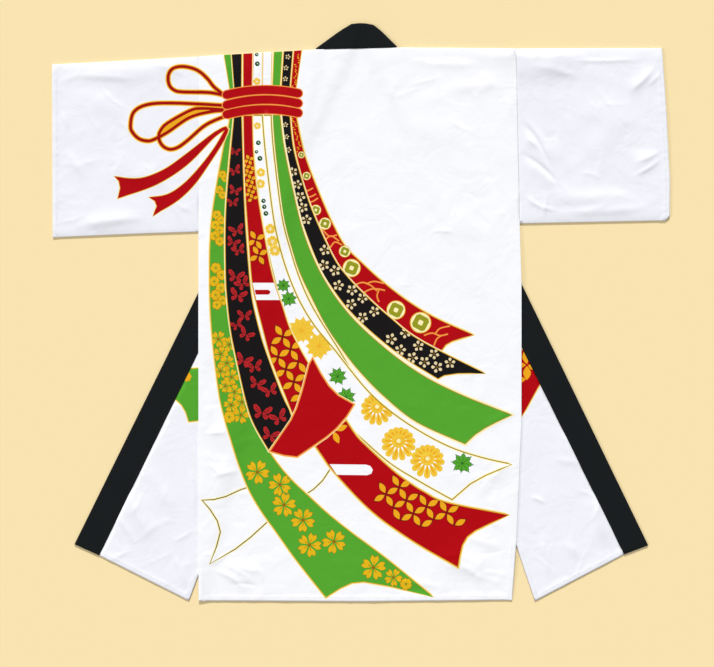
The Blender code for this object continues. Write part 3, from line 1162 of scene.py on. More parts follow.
@dataclass
class BundlePrint:
    """The tied bundle of long ribbons on the back, with the cords that tie it."""

    seed: int = 7
    upper: Print = field(default_factory=Print)
    left_front: Print = field(default_factory=Print)
    right_front: Print = field(default_factory=Print)

    above: tuple[tuple[Dye, float, float, float, float], ...] = (
        # dye, left and right at the shoulder, left and right at the knot
        (Dye.GREEN, 222.6, 229.8, 230.2, 233.4),
        (Dye.BLACK, 231.2, 241.6, 234.6, 241.2),
        (Dye.RED, 243.6, 252.4, 243.6, 251.8),
        (Dye.WHITE, 254, 262, 253.2, 261.6),
        (Dye.WHITE, 263.6, 271.8, 263, 270.6),
        (Dye.GREEN, 274.6, 282.6, 272.8, 279.6),
        (Dye.BLACK, 284.6, 293.2, 281.6, 289.4),
        (Dye.RED, 295, 302.8, 291, 295.6),
    )
    green_left: Ribbon = Ribbon(
        Dye.GREEN,
        (
            (230.6, 116, 233, 116), (228.5, 130, 231.8, 130), (223.6, 150, 229, 150),
            (212.2, 220, 224.2, 220), (210.2, 280, 225, 280), (212.2, 330, 230.6, 330),
            (219, 390, 241.6, 384), (225, 418, 250.6, 415), (231.6, 440, 262, 440),
            (239, 464, 276, 462), (249, 489, 291, 480), (261, 510, 307, 495), (276, 531, 326, 512.6),
            (293, 555, 350, 532), (310, 577, 385, 558), (326, 597, 433, 597),
        ),
        ((340, 588), (352, 582.6), (364, 581.4), (390, 586)),
    )
    black_left: Ribbon = Ribbon(
        Dye.BLACK,
        (
            (234.4, 116, 241.4, 116), (226.6, 205, 244.2, 205), (226, 270, 248.6, 270),
            (227.6, 300, 252, 300), (231, 330, 259, 330), (235.2, 352, 265, 350), (246, 400, 281, 393),
            (254, 424, 289, 410), (268.6, 449.6, 291.6, 417.4),
        ),
    )
    red_left: Ribbon = Ribbon(
        Dye.RED,
        (
            (243.8, 116, 252, 116), (244.2, 150, 253, 150), (245.6, 190, 256.6, 190),
            (249.8, 250, 266.6, 250), (252.6, 283, 274, 283), (257, 305, 281.6, 305),
            (263.4, 330, 290, 330), (270, 355, 303, 355), (277.4, 375, 312, 372),
            (285.4, 395, 312, 392), (294, 417, 306, 410),
        ),
    )
    white_broad: Ribbon = Ribbon(
        Dye.WHITE,
        (
            (253, 116, 261.8, 116), (254, 150, 264.6, 150), (261, 210, 271.8, 210),
            (266.4, 240, 277.4, 240), (273, 270, 286, 270), (281, 300, 298.4, 300),
            (291, 328, 314, 326), (303, 352, 334, 350), (320, 380, 352, 373), (335, 402, 370, 394),
            (348, 424, 393, 414), (362, 438, 420, 432), (390, 462.4, 450, 447.6),
            (420, 481, 480, 457.6), (452, 499, 511, 464.6),
        ),
        ((460, 492), (470, 483.4), (485, 475), (500, 468.4)),
    )
    white_narrow: Ribbon = Ribbon(
        Dye.WHITE,
        (
            (262.8, 116, 270.6, 116), (265.8, 150, 273, 150), (273, 215, 281.2, 215),
            (280.6, 250, 289.8, 250), (290.4, 280, 299.6, 280), (303.6, 308, 313, 309),
            (332, 350, 339, 351), (346, 366, 350, 369), (364, 388, 366, 390), (388, 411, 390, 412.4),
        ),
    )
    green_broad: Ribbon = Ribbon(
        Dye.GREEN,
        (
            (273, 116, 279.6, 116), (276, 150, 284, 150), (283, 210, 296.8, 210),
            (290, 240, 305.6, 240), (299.4, 270, 317.4, 268), (312, 297, 332, 293),
            (326.4, 325, 349, 315), (342.6, 349, 369, 335), (360, 371, 398.6, 359.6),
            (385, 396.4, 429, 379.6), (417, 421.6, 465, 397), (465, 443.4, 511, 415),
        ),
        ((475, 434), (485, 427.4), (495, 422)),
    )
    black_right: Ribbon = Ribbon(
        Dye.BLACK,
        (
            (282, 116, 289.6, 116), (285, 145, 292.6, 145), (289, 170, 298.6, 170),
            (299.4, 213, 311.6, 210), (318.6, 264, 332.4, 256), (332.6, 288, 345.6, 275),
            (350.4, 311, 364.6, 295), (375.4, 335, 389.8, 317.6), (405, 358, 420, 340.6),
            (438, 378.6, 485, 373.6),
        ),
        ((444, 375.2), (458, 373.2), (470, 373)),
    )
    red_right: Ribbon = Ribbon(
        Dye.RED,
        (
            (291.4, 116, 295.8, 116), (294, 140, 300.6, 140), (298.4, 162, 306.6, 162),
            (309.4, 203.4, 321.6, 200), (317.4, 223, 332.4, 224), (326.4, 244, 344.6, 246),
            (338, 264.4, 361.4, 263), (354.8, 283.6, 382.4, 282), (379.6, 307.4, 407.6, 301.4),
            (409.6, 332, 435, 318), (441, 350.8, 473, 335),
        ),
        ((445.6, 344.6), (452, 341), (462, 337.8)),
    )
    red_low: Ribbon = Ribbon(
        Dye.RED,
        (
            (316, 446.4, 346, 421), (323, 456.4, 356, 436), (332, 469, 366, 446.4),
            (358, 497.6, 391, 469.4), (378, 516, 406, 481), (400, 532, 424, 492.4),
            (424, 547.4, 447, 503), (457.6, 566.4, 508, 515),
        ),
        ((459.4, 556), (462, 545), (467, 536.4), (475, 530.4), (488, 524)),
    )
    under_tail: Line = (
        (203, 500.4), (214, 500), (226, 497), (240, 490.6), (250, 487), (264, 468), (268, 455),
        (275, 449.5), (300, 447), (314, 441), (328, 440), (331, 452), (331.2, 466.6), (322, 480.4),
        (313, 489), (304.6, 494.4), (290, 510), (267.6, 521), (250, 537), (235, 548.6), (210.4, 563.2),
        (217, 547), (221, 532), (218, 520.6), (210.6, 509),
    )
    turned_red: Line = (
        (312.6, 359), (320.4, 374), (328.4, 386.4), (338, 396), (353.4, 404.6), (346, 416.4),
        (336, 428), (326, 436.6), (297, 456.4), (284, 454.8), (270.6, 451), (291.4, 420.4),
        (297, 408.6), (302.4, 392), (309.4, 365),
    )
    small_blossoms: Rows = (
        (222.6, 174.6, 4.2, 10), (225, 178.6, 3.6, 40), (219.4, 190, 4.4, 0), (222.8, 195, 4.2, 30),
        (217, 215, 4.8, 20), (221.4, 220.4, 4.4, 50), (215.4, 225, 4.8, 5), (219.8, 230.4, 4.8, 35),
        (215, 236, 5, 60), (220, 241.4, 4.8, 15), (216, 268, 5.4, 25), (221.6, 275, 5.2, 0),
        (214.4, 281.4, 5.4, 45), (221, 288, 5.4, 10), (215.8, 295, 5.4, 30), (222.8, 300.6, 5, 55),
        (217, 304.8, 4.8, 5), (218.6, 339, 8.2, 12), (229.4, 344.6, 7.6, 40), (220.8, 354, 8, 65),
        (227, 363, 8, 20), (220.6, 371, 7.6, 50), (231.4, 377, 8, 5), (225.4, 386, 6.6, 30),
        (234.4, 392, 8, 60), (242, 402, 8.4, 15), (231.2, 405, 7.6, 45), (241, 415, 8.6, 70),
        (229.4, 417, 6, 25),
    )
    big_blossoms: Rows = (
        (257.4, 472, 12, 10), (280, 484.6, 11.4, 34), (284, 505, 12, -8), (303, 520, 12, 20),
        (309.4, 545, 12, 4), (334, 541.6, 12, 30), (373.4, 567.6, 12.4, -10), (393.4, 577.4, 9, 12),
        (406, 584, 6, 30),
    )
    butterflies: Rows = (
        (235, 152, 5.4, 10), (235, 171, 6.6, -20), (235, 191, 6.6, 15), (233, 203, 6, -5),
        (237, 231, 8, -15), (233, 243, 7, 20), (239, 250.6, 7, -20), (236, 277, 8.6, 10),
        (243, 284, 8, -30), (238, 296, 9, 15), (244.6, 316, 7.6, 0), (237, 325, 7, -25),
        (246, 335, 8, 30), (243.6, 361, 9, 20), (254.6, 367, 8.4, -10), (257, 384, 8.4, 15),
        (270, 391, 8.6, -20), (262, 413, 10, 10), (279, 418, 9.4, -25), (270, 435.6, 9, 20),
    )
    above_plums: Rows = ((288, 57, 2.6), (286, 68, 2.6), (285.4, 79, 2.6))
    plums: Rows = (
        (285.6, 125, 2.6), (286.6, 137, 2.6), (288.4, 150, 3), (293, 172, 4.6), (297.4, 184.6, 4.6),
        (300.4, 196.6, 5), (303, 207.4, 5), (306.6, 219.6, 5), (325, 250, 5.4), (324, 265, 5.4),
        (335, 270.6, 5.4), (338.4, 285.4, 5.4), (352, 290, 5.4), (362.4, 298, 5.2), (351, 304, 5.4),
        (374.4, 311.4, 5.2), (362.6, 317.4, 5.4), (391, 339, 5.8), (405.4, 333, 5.4), (400.4, 350, 5.6),
        (418.4, 346, 5.4), (412.4, 357.6, 5.6), (424.4, 362, 5.6), (434, 354, 5.2), (437, 367, 5.8),
        (450, 363, 5.4),
    )
    coins: Rows = (
        (301.4, 155, 3.4), (306.6, 176, 4.2), (315.8, 210, 5.4), (325, 223.6, 6.2), (344.8, 251.4, 6),
        (351.6, 268, 9.2), (396, 310, 9.6), (420.6, 322.6, 10.8),
    )
    waves: tuple[Line, ...] = (
        ((301, 187), (306, 191), (313, 188)), ((303, 193), (309, 197), (316, 194)),
        ((305, 199), (311, 202), (318, 198)), ((322, 229), (329, 236), (337, 235)),
        ((325, 240), (331, 236), (339, 241)), ((330, 248), (335, 242), (342, 245)),
        ((356, 284.4), (363, 282.4), (371, 285.6), (377, 291)), ((366, 284), (374, 281.4), (384, 283.4)),
        ((362, 294), (370, 289.4), (378, 289), (385, 290.4)), ((379, 289.6), (377, 296), (379, 302)),
        ((424, 335.4), (432, 333), (440, 335.6), (448, 334)), ((435, 334), (440, 328.4), (450, 326)),
        ((434, 345.6), (437, 338.6), (442, 335.4)),
    )
    above_dots: Rows = ((257.4, 64, 2.5), (256.8, 54.8, 1.9))
    dots: Rows = (
        (258.4, 143, 2.5), (256.6, 152, 1.8), (260, 158.6, 2.6), (263.6, 201, 2.3), (264.4, 207, 2.3),
        (266, 213.6, 2.5),
    )
    gold_blossoms: Rows = (
        (257.4, 126, 3.8), (261, 172.6, 4.4), (260.6, 184, 4.6), (270.4, 229, 5.2), (272.6, 241.6, 5.8),
        (275, 250.6, 5.6),
    )
    maples: tuple[tuple[float, float, float, float, Dye], ...] = (
        (283.4, 285.6, 6.8, 5, Dye.GREEN), (288.8, 299, 8.2, -12, Dye.GREEN),
        (301.6, 330.6, 15, 8, Dye.STRAW), (319, 346, 14.8, -25, Dye.STRAW),
        (337.6, 376.4, 9.2, 15, Dye.GREEN), (346, 397, 9.8, -20, Dye.GREEN),
        (462.4, 463.4, 11, 8, Dye.GREEN),
    )
    white_patch: Line = ((252.6, 282.8), (274.4, 282.8), (279.8, 300), (256.4, 300))
    red_bar: Line = (
        (254.8, 289.8), (268, 289.8), (270, 290.8), (270.6, 292.6), (268.6, 294.6), (255.8, 294.6)
    )
    left_end: Line = ((190, 369), (202, 368), (202, 420), (189, 421.4), (186, 412), (182, 405), (170, 394))
    right_end: Line = ((515, 352), (560, 340), (541, 382), (537, 389), (532, 398), (526, 409), (515, 427))
    right_petals: Rows = (
        # place across and down, length, width, direction
        (527, 364, 13, 6, -104), (527, 366, 14, 8, 90), (526, 365, 12, 6, 178), (528, 365, 9, 5, 28),
        (526, 379, 11, 6, 172),
    )
    white_bar: Line = (
        (329.6, 464.2), (366, 464.6), (370.4, 466), (372.8, 469.8), (371.4, 473.6), (367, 475.2),
        (337, 474.8),
    )
    high_lattice: Line = (
        (272, 324), (292, 327), (310, 372), (296, 404), (268, 362),
    )
    low_lattice: Line = (
        (382, 481.4), (406, 478), (417, 490), (460, 512.4), (466, 526.4), (410, 522.4), (397, 519.4),
        (390, 508.4), (375, 503.4),
    )
    chrysanthemums: Rows = (
        (377, 409, 17, 5), (398.6, 443.4, 18, 0), (427.4, 461, 18, 14)
    )
    cord_loops: tuple[Line, ...] = (
        (
            (225, 96), (214, 87), (208, 79.4), (200, 72), (192, 68.2), (182, 66.6), (173.4, 68.4),
            (169, 73.6), (168.2, 80), (170, 86.4), (174.6, 90.4), (182, 92), (210, 92.8), (226, 96),
        ),
        (
            (224, 105.6), (175, 103.2), (148, 104.6), (134, 112), (130.6, 126), (133, 133),
            (139, 138.8), (147, 141), (154, 139.6), (168, 132), (190, 117.4), (212, 111.6),
            (226, 110.6),
        ),
        (
            (226, 110), (202, 108.6), (190, 110.8), (168, 123), (161, 130), (158.8, 136), (160, 142),
            (164, 147), (170.4, 149.4), (178, 147.4), (187, 141), (206, 125), (226, 116),
        ),
    )
    gold_leaf: Line = (
        (205, 109.6), (192, 111), (180, 116.6), (169, 123.6), (162, 130), (160, 135), (168, 131),
        (190, 116.6), (202, 112.6),
    )
    upper_tail: tuple[Line, Line, Line] = (
        (
            (226, 126.6), (215, 132), (185, 155), (165, 169), (145, 177.4), (130, 178.6),
            (114.4, 176.4),
        ),
        ((119, 181), (120.4, 188), (118, 198.4)),
        (
            (125, 196), (157, 184.4), (187, 165), (215, 137), (228, 128.6),
        ),
    )
    lower_tail: tuple[Line, Line, Line] = (
        (
            (225.6, 129), (214, 148.6), (199, 168), (183, 184.4), (167, 194.6), (149, 197.4),
        ),
        ((155, 201), (157, 206.4), (155, 211), (153, 216.4)),
        (
            (160, 211.4), (178, 200.4), (195, 184), (211, 161.4), (224.4, 140), (228.6, 129.6),
        ),
    )

    def ribbon(self, ribbon: Ribbon, gold: float = 0.8, cream: float = 1.6) -> Shape:
        """Add a ribbon with its lines and return the area within them."""
        return self.upper.edged(ribbon.outline(), ribbon.dye, gold, cream)

    def lined(self, outline: Line, line: float = 1.2, dye: Dye = Dye.TAN) -> Shape:
        """Add a white area that only a thin line bounds, and return it.

        Args:
            outline: The area in layout places.
            line: The line's width.
            dye: The line's colour.

        Returns:
            The area within the line.
        """
        points = anticlockwise(outline)
        self.upper.fill(grown(points, line + 1.0), Dye.PALE)
        self.upper.fill(grown(points, line), dye)
        within = self.upper.fill(points, Dye.PALE)
        self.upper.fill(grown(points, -0.8), Dye.WHITE)
        return within

    def draw_ribbons(self) -> None:
        """Add the ribbons from the lowest to the topmost, with their figures."""
        sheet = self.upper
        self.lined(self.under_tail, 1.1, Dye.BRONZE)
        self.draw_above()
        self.draw_green_left()
        self.draw_right_pair()
        sheet.edged(self.green_broad.outline(), Dye.GREEN, 0.9, 2.6, Dye.TAN)
        self.lined(self.white_narrow.outline())
        self.draw_white_broad()
        self.draw_red_low()
        self.draw_red_left()
        sheet.mask = self.ribbon(self.black_left)
        for x, y, size, turn in self.butterflies:
            Butterfly(x, y, 0.93 * size, turn).draw(sheet, Dye.ROSE, Dye.BLACK)
        sheet.mask = None
        sheet.edged(self.turned_red, Dye.RED, 1.4, 2.0, Dye.CORAL)

    def draw_above(self) -> None:
        """Add the short stretches between the shoulder and the knot."""
        sheet = self.upper
        for dye, a, b, c, d in self.above:
            sheet.edged(((a, 44.0), (b, 42.0), (d, 90.0), (c, 90.0)), dye, 0.6, 1.2)
        for x, y, size in self.above_dots:
            sheet.disc(x, y, size, Dye.MOSS, 10)
            sheet.stroke(((x - 0.5, y - 0.9), (x + 0.9, y + 0.5)), 0.6, Dye.WHITE)
        Blossom(257.0, 81.6, 3.8, 40.0).draw(sheet, Dye.STRAW, Dye.CREAM)
        for x, y, size in self.above_plums:
            Plum(x, y, size, (x * 7.0) % 72.0).draw(sheet, Dye.BUFF, Dye.BRONZE)
        self.specks((299.4, 54.0), (293.4, 86.0), 16)

    def specks(self, start: Point, end: Point, count: int) -> None:
        """Scatter short gold marks along a narrow ribbon.

        Args:
            start: Layout place of the first.
            end: Layout place of the last.
            count: How many there are.
        """
        rng = random.Random(self.seed)
        for k in range(count):
            part = k / (count - 1)
            x = start[0] + (end[0] - start[0]) * part + rng.uniform(-1.7, 1.7)
            y = start[1] + (end[1] - start[1]) * part
            self.upper.petal(x, y, rng.uniform(2.0, 3.0), 1.1, rng.uniform(0.0, 180.0), Dye.GOLD)

    def draw_green_left(self) -> None:
        """Add the long green ribbon at the left with its cherry blossoms."""
        sheet = self.upper
        sheet.mask = self.ribbon(self.green_left, 1.0, 2.0)
        for x, y, size, turn in self.small_blossoms + self.big_blossoms:
            Blossom(x, y, size, turn).draw(sheet, Dye.MUSTARD, Dye.UMBER)
        sheet.mask = None

    def draw_right_pair(self) -> None:
        """Add the two ribbons at the right: red with coins and black with plum blossoms."""
        sheet = self.upper
        sheet.mask = self.ribbon(self.red_right, 1.0, 2.1)
        for wave in self.waves:
            sheet.stroke(flowing(wave, 2.0), 1.5, Dye.CORAL)
        self.specks((293.6, 118.0), (299.4, 151.0), 18)
        sheet.mask = None
        for x, y, size in self.coins:
            Coin(x, y, size, 62.0 + 0.09 * (x - 300.0)).draw(sheet)
        sheet.mask = self.ribbon(self.black_right)
        for x, y, size in self.plums:
            Plum(x, y, size, (x * 7.0) % 72.0).draw(sheet, Dye.BUFF, Dye.BRONZE)
        sheet.mask = None

    def draw_white_broad(self) -> None:
        """Add the broad white ribbon with its leaves, flowers and dots."""
        sheet = self.upper
        sheet.mask = self.lined(self.white_broad.outline())
        for x, y, size in self.dots:
            sheet.disc(x, y, size, Dye.MOSS, 10)
            sheet.stroke(((x - 0.5, y - 0.9), (x + 0.9, y + 0.5)), 0.6, Dye.WHITE)
        for x, y, size in self.gold_blossoms:
            Blossom(x, y, size, x % 72.0).draw(sheet, Dye.STRAW, Dye.CREAM)
        for x, y, size, turn, dye in self.maples:
            rim = Dye.MOSS if dye is Dye.GREEN else None
            vein, lobes = (Dye.MOSS, 8) if dye is Dye.GREEN else (Dye.GOLD, 11)
            Maple(x, y, size, turn).draw(sheet, dye, vein, rim, lobes)
        for x, y, size, turn in self.chrysanthemums:
            Chrysanthemum(x, y, size, turn).draw(sheet, Dye.STRAW, Dye.CREAM)
        sheet.mask = None

    def draw_red_low(self) -> None:
        """Add the red ribbon's lower stretch with its white bar and its linked petals."""
        sheet = self.upper
        sheet.mask = self.ribbon(self.red_low, 1.3, 2.3)
        sheet.fill(self.white_bar, Dye.WHITE)
        LinkedPetals(386.0, 494.4, 14.95, -28.2, 0.42).draw(sheet, self.low_lattice)
        for x, y, turn in ((333.6, 431.6, 66.0), (335.4, 430.4, -22.0)):
            sheet.petal(x, y, 13.0, 6.2, turn, Dye.GOLD)
        sheet.mask = None

    def draw_red_left(self) -> None:
        """Add the red ribbon's upper stretch with its petals and its white band."""
        sheet = self.upper
        within = anticlockwise(self.red_left.outline())
        sheet.mask = self.ribbon(self.red_left)
        LinkedPetals(282.6, 336.7, 14.7, -32.4, 0.44).draw(sheet, self.high_lattice)
        for x, y in ((256.0, 240.0), (258.6, 255.4)):
            LinkedPetals(x, y, 11.6, -30.0, 0.46).meeting(sheet)
        small = LinkedPetals(249.0, 160.0, 6.2, -24.0, 0.58)
        small.draw(sheet, [p for p in within if 150.0 < p[1] < 204.0])
        sheet.fill(self.white_patch, Dye.WHITE)
        sheet.fill(self.red_bar, Dye.RED)
        sheet.mask = None

    def draw_knot(self) -> None:
        """Add the cord loops, the two red tails and the three wraps of the knot."""
        sheet = self.upper
        tails = [
            anticlockwise(flowing(edge, 5.0) + list(notch) + flowing(other, 5.0))
            for edge, notch, other in (self.upper_tail, self.lower_tail)
        ]
        for amount, dye in ((1.1, Dye.CREAM), (0.6, Dye.LINE), (0.0, Dye.RED)):
            for tail in tails:
                sheet.fill(grown(tail, amount), dye)
        for loop in self.cord_loops:
            sheet.stroke(flowing(loop, 2.6), 6.2, Dye.CREAM)
        sheet.fill(self.gold_leaf, Dye.GOLD)
        for width, dye in ((4.9, Dye.GOLD), (2.9, Dye.CRIMSON)):
            for loop in self.cord_loops:
                sheet.stroke(flowing(loop, 2.6), width, dye)
        for left_end, right_end, rise in ((95.0, 93.6, 4.2), (105.2, 103.6, 4.6), (114.6, 113.2, 4.4)):
            middle = []
            for i in range(17):
                t = i / 16.0
                y = left_end + (right_end - left_end) * t - rise * (1.0 - (2.0 * t - 1.0) ** 2)
                middle.append((226.8 + 71.4 * t, y))
            upper, lower = beside(middle, 4.2), beside(middle, -4.2)
            turns = [math.pi * k / 6.0 for k in range(1, 6)]
            tip = [(298.2 + 4.2 * math.sin(a), right_end + 4.2 * math.cos(a)) for a in turns]
            start = [(226.8 - 4.2 * math.sin(a), left_end - 4.2 * math.cos(a)) for a in turns]
            sheet.edged(upper + tip + lower[::-1] + start, Dye.RED, 0.9, 0.0, Dye.CORAL)

    def draw_fronts(self) -> None:
        """Add the ribbon ends that show on the two turned-out fronts."""
        left, right = self.left_front, self.right_front
        left.edged(self.left_end, Dye.GREEN)
        left.petal(181, 378, 11, 9, -10.0, Dye.GOLD)
        left.petal(190, 381, 12, 5, -108.0, Dye.GOLD)
        right.edged(self.right_end, Dye.RED)
        for x, y, size, width, turn in self.right_petals:
            right.petal(x, y, size, width, turn, Dye.GOLD)

    def build(self) -> "BundlePrint":
        """Draw the whole print."""
        self.draw_ribbons()
        self.draw_knot()
        self.draw_fronts()
        log.info("print: %d dyed areas", len(self.upper.shapes))
        return self


# Cloth pieces


class Spots:
    """Points of a panel that keep a distance from one another."""

    def __init__(self, cell: float) -> None:
        """Start without a point."""
        self.cell = cell
        self.cells: dict[tuple[int, int], list[Point]] = {}

    def add(self, point: Sequence[float]) -> None:
        """Take up a point."""
        key = (int(point[0] // self.cell), int(point[1] // self.cell))
        self.cells.setdefault(key, []).append((point[0], point[1]))

    def free(self, point: Sequence[float], gap: float) -> bool:
        """Return whether no point lies nearer than the gap, which is one cell at most.

        Args:
            point: The point.
            gap: The least distance to the others.

        Returns:
            True where the point is free.
        """
        column, row = int(point[0] // self.cell), int(point[1] // self.cell)
        for i in (column - 1, column, column + 1):
            for j in (row - 1, row, row + 1):
                for x, y in self.cells.get((i, j), ()):
                    if math.hypot(x - point[0], y - point[1]) < gap:
                        return False
        return True


@dataclass
class FlatCut:
    """Triangles of a flat panel whose edges follow the print.

    Attributes:
        outline: The panel's outline, anticlockwise.
        cell: The step between the points inside.
        shapes: The dyed areas in painting order.
        guides: Lines that the triangles follow, such as the depth of a hem.
        folds: Folds that the triangles follow.
        ground: Colour of the cloth itself.
    """

    outline: list[Point]
    cell: float
    shapes: list[Shape] = field(default_factory=list)
    guides: list[list[Point]] = field(default_factory=list)
    folds: Sequence[Fold] = ()
    ground: Dye = Dye.WHITE

    def triangulate(self, corners: Line) -> tuple[list[Point], list[tuple[int, ...]], list[Dye]]:
        """Cut the panel into triangles.

        Args:
            corners: The outline's corners alone, for the tests of what is inside.

        Returns:
            The points, the triangles and each triangle's dye.
        """
        low_x, high_x = min(p[0] for p in self.outline), max(p[0] for p in self.outline)
        low_y, high_y = min(p[1] for p in self.outline), max(p[1] for p in self.outline)
        points = list(self.outline)
        faces = [list(range(len(points)))]
        dyes = [self.ground]
        masks: list[int] = [0]
        closed = list(corners) + [corners[0]]
        places: dict[Shape, int] = {}
        for shape in self.shapes:
            xs, ys = [p[0] for p in shape.points], [p[1] for p in shape.points]
            if max(xs) < low_x or min(xs) > high_x or max(ys) < low_y or min(ys) > high_y:
                continue
            if shape.mask is not None and shape.mask not in places:
                continue
            places[shape] = len(faces)
            masks.append(places[shape.mask] if shape.mask is not None else 0)
            faces.append(list(range(len(points), len(points) + len(shape.points))))
            points += shape.points
            dyes.append(shape.dye)
        edges = []
        for guide in self.guides:
            first = len(points)
            points += guide
            edges += [(i, i + 1) for i in range(first, len(points) - 1)]
        spots = Spots(0.5 * self.cell)
        for face in faces[1:]:
            ring = [points[i] for i in face]
            for point in spaced(ring, 1.5, closed=True):
                spots.add(point)
        for guide in self.guides:
            for point in spaced(guide, 1.5):
                spots.add(point)
        for spot in (spot for fold in self.folds for line in fold.guides() for spot in line):
            if inside(spot, corners) and spots.free(spot, 1.5) and line_distance(spot, closed) > 4.0:
                spots.add(spot)
                points.append(spot)
        row = self.cell * math.sqrt(0.75)
        for j in range(1, int((high_y - low_y) / row) + 1):
            for i in range(int((high_x - low_x) / self.cell) + 2):
                spot = (low_x + (i + 0.5 * (j % 2)) * self.cell, low_y + j * row)
                if not inside(spot, corners) or not spots.free(spot, 0.3 * self.cell):
                    continue
                if line_distance(spot, closed) > 0.5 * self.cell:
                    points.append(spot)
        vectors = [Vector(p) for p in points]
        found, _, triangles, _, _, owners = delaunay_2d_cdt(vectors, edges, faces, 0, 1e-3, True)
        kept, worn = [], []
        for triangle, owner in zip(triangles, owners):
            if 0 in owner:
                kept.append(tuple(triangle))
                worn.append(dyes[max(number for number in owner if masks[number] in owner)])
        return [(v.x, v.y) for v in found], kept, worn


@dataclass
class ClothMesh:
    """A cloth surface in millimetres that becomes a thin shell."""

    name: str
    vertices: list[tuple[float, float, float]] = field(default_factory=list)
    faces: list[tuple[int, ...]] = field(default_factory=list)
    dyes: list[Dye] = field(default_factory=list)

    def add(
        self, vertices: Sequence[Sequence[float]], faces: Sequence[Sequence[int]], dyes: Sequence[Dye]
    ) -> None:
        """Add a surface with the dye of each of its faces."""
        first = len(self.vertices)
        self.vertices += [tuple(v) for v in vertices]
        self.faces += [tuple(i + first for i in face) for face in faces]
        self.dyes += dyes

    def build(self, inside_cloth: bpy.types.Material, wall: float, up: bool = True) -> bpy.types.Object:
        """Make the shell.

        Args:
            inside_cloth: Material of the side that the print isn't on.
            wall: Its thickness in millimetres.
            up: Whether the first face that was added looks up.

        Returns:
            The piece, with its wall applied.
        """
        used = sorted(set(self.dyes), key=lambda d: d.name)
        mesh = bpy.data.meshes.new(self.name)
        mesh.from_pydata([Vector(v) * MM for v in self.vertices], [], self.faces)
        for dye in used:
            mesh.materials.append(satin(dye))
        mesh.materials.append(inside_cloth)
        mesh.polygons.foreach_set("material_index", [used.index(d) for d in self.dyes])
        work = bmesh.new()
        work.from_mesh(mesh)
        loose = [v for v in work.verts if not v.link_faces]
        bmesh.ops.delete(work, geom=loose, context="VERTS")
        bmesh.ops.remove_doubles(work, verts=work.verts, dist=0.00014)
        bmesh.ops.dissolve_degenerate(work, edges=work.edges, dist=0.00006)
        bmesh.ops.triangulate(work, faces=[face for face in work.faces if len(face.verts) > 4])
        bmesh.ops.recalc_face_normals(work, faces=work.faces)
        work.faces.ensure_lookup_table()
        if (work.faces[0].normal.z > 0.0) != up:
            bmesh.ops.reverse_faces(work, faces=work.faces)
        for face in work.faces:
            face.smooth = True
        work.to_mesh(mesh)
        work.free()
        piece = linked(self.name, mesh)
        shell = piece.modifiers.new("wall", "SOLIDIFY")
        shell.thickness = wall * MM
        shell.offset = -1.0
        shell.material_offset = len(used)
        shell.material_offset_rim = 0
        return settled(piece)


def linked(name: str, data: bpy.types.ID) -> bpy.types.Object:
    """Make an object and put it in the scene.

    Args:
        name: Its name.
        data: Its mesh, light or camera.

    Returns:
        The object.
    """
    made = bpy.data.objects.new(name, data)
    bpy.context.scene.collection.objects.link(made)
    return made


def settled(piece: bpy.types.Object) -> bpy.types.Object:
    """Turn a piece with its modifiers into a plain mesh.

    Args:
        piece: The piece.

    Returns:
        The same piece, without modifiers.
    """
    graph = bpy.context.evaluated_depsgraph_get()
    solved = piece.evaluated_get(graph)
    made = bpy.data.meshes.new_from_object(solved, preserve_all_data_layers=True, depsgraph=graph)
    old = piece.data
    piece.modifiers.clear()
    piece.data = made
    bpy.data.meshes.remove(old)
    made.name = piece.name
    return piece


def edge_roll(distance: float) -> float:
    """Return how far the cloth sinks at its very edge."""
    return -0.5 * ease(distance, (0.0, 2.2))


def seam_groove(distance: float, y: float) -> float:
    """Return how far the cloth sinks at a sewn seam, deepest where the sleeve's lower end pulls at it.

    Args:
        distance: How far the point is from the seam.
        y: Its place along the coat.

    Returns:
        The depth in millimetres, below 0.
    """
    pull = math.exp(-(((y - UNDERARM_Y) / 24.0) ** 4))
    return -0.3 * ease(distance, (0.2, 5.0)) - 1.5 * pull * ease(distance, (0.5, 3.0))


def hem_step(distance: float, point: Sequence[float]) -> float:
    """Return how far the doubled cloth of a hem stands up, puckered a little by its stitches.

    Args:
        distance: How far the point is from the edge.
        point: The point.

    Returns:
        The rise in millimetres.
    """
    pucker = noise.noise(Vector((point[0] / 7.0, point[1] / 7.0, 5.1)))
    near = math.exp(-(((distance - 0.8 * HEM_DEPTH) / 7.0) ** 2))
    return 0.45 * ease(distance, (HEM_DEPTH, HEM_DEPTH + 2.4)) + 0.7 * near * pucker


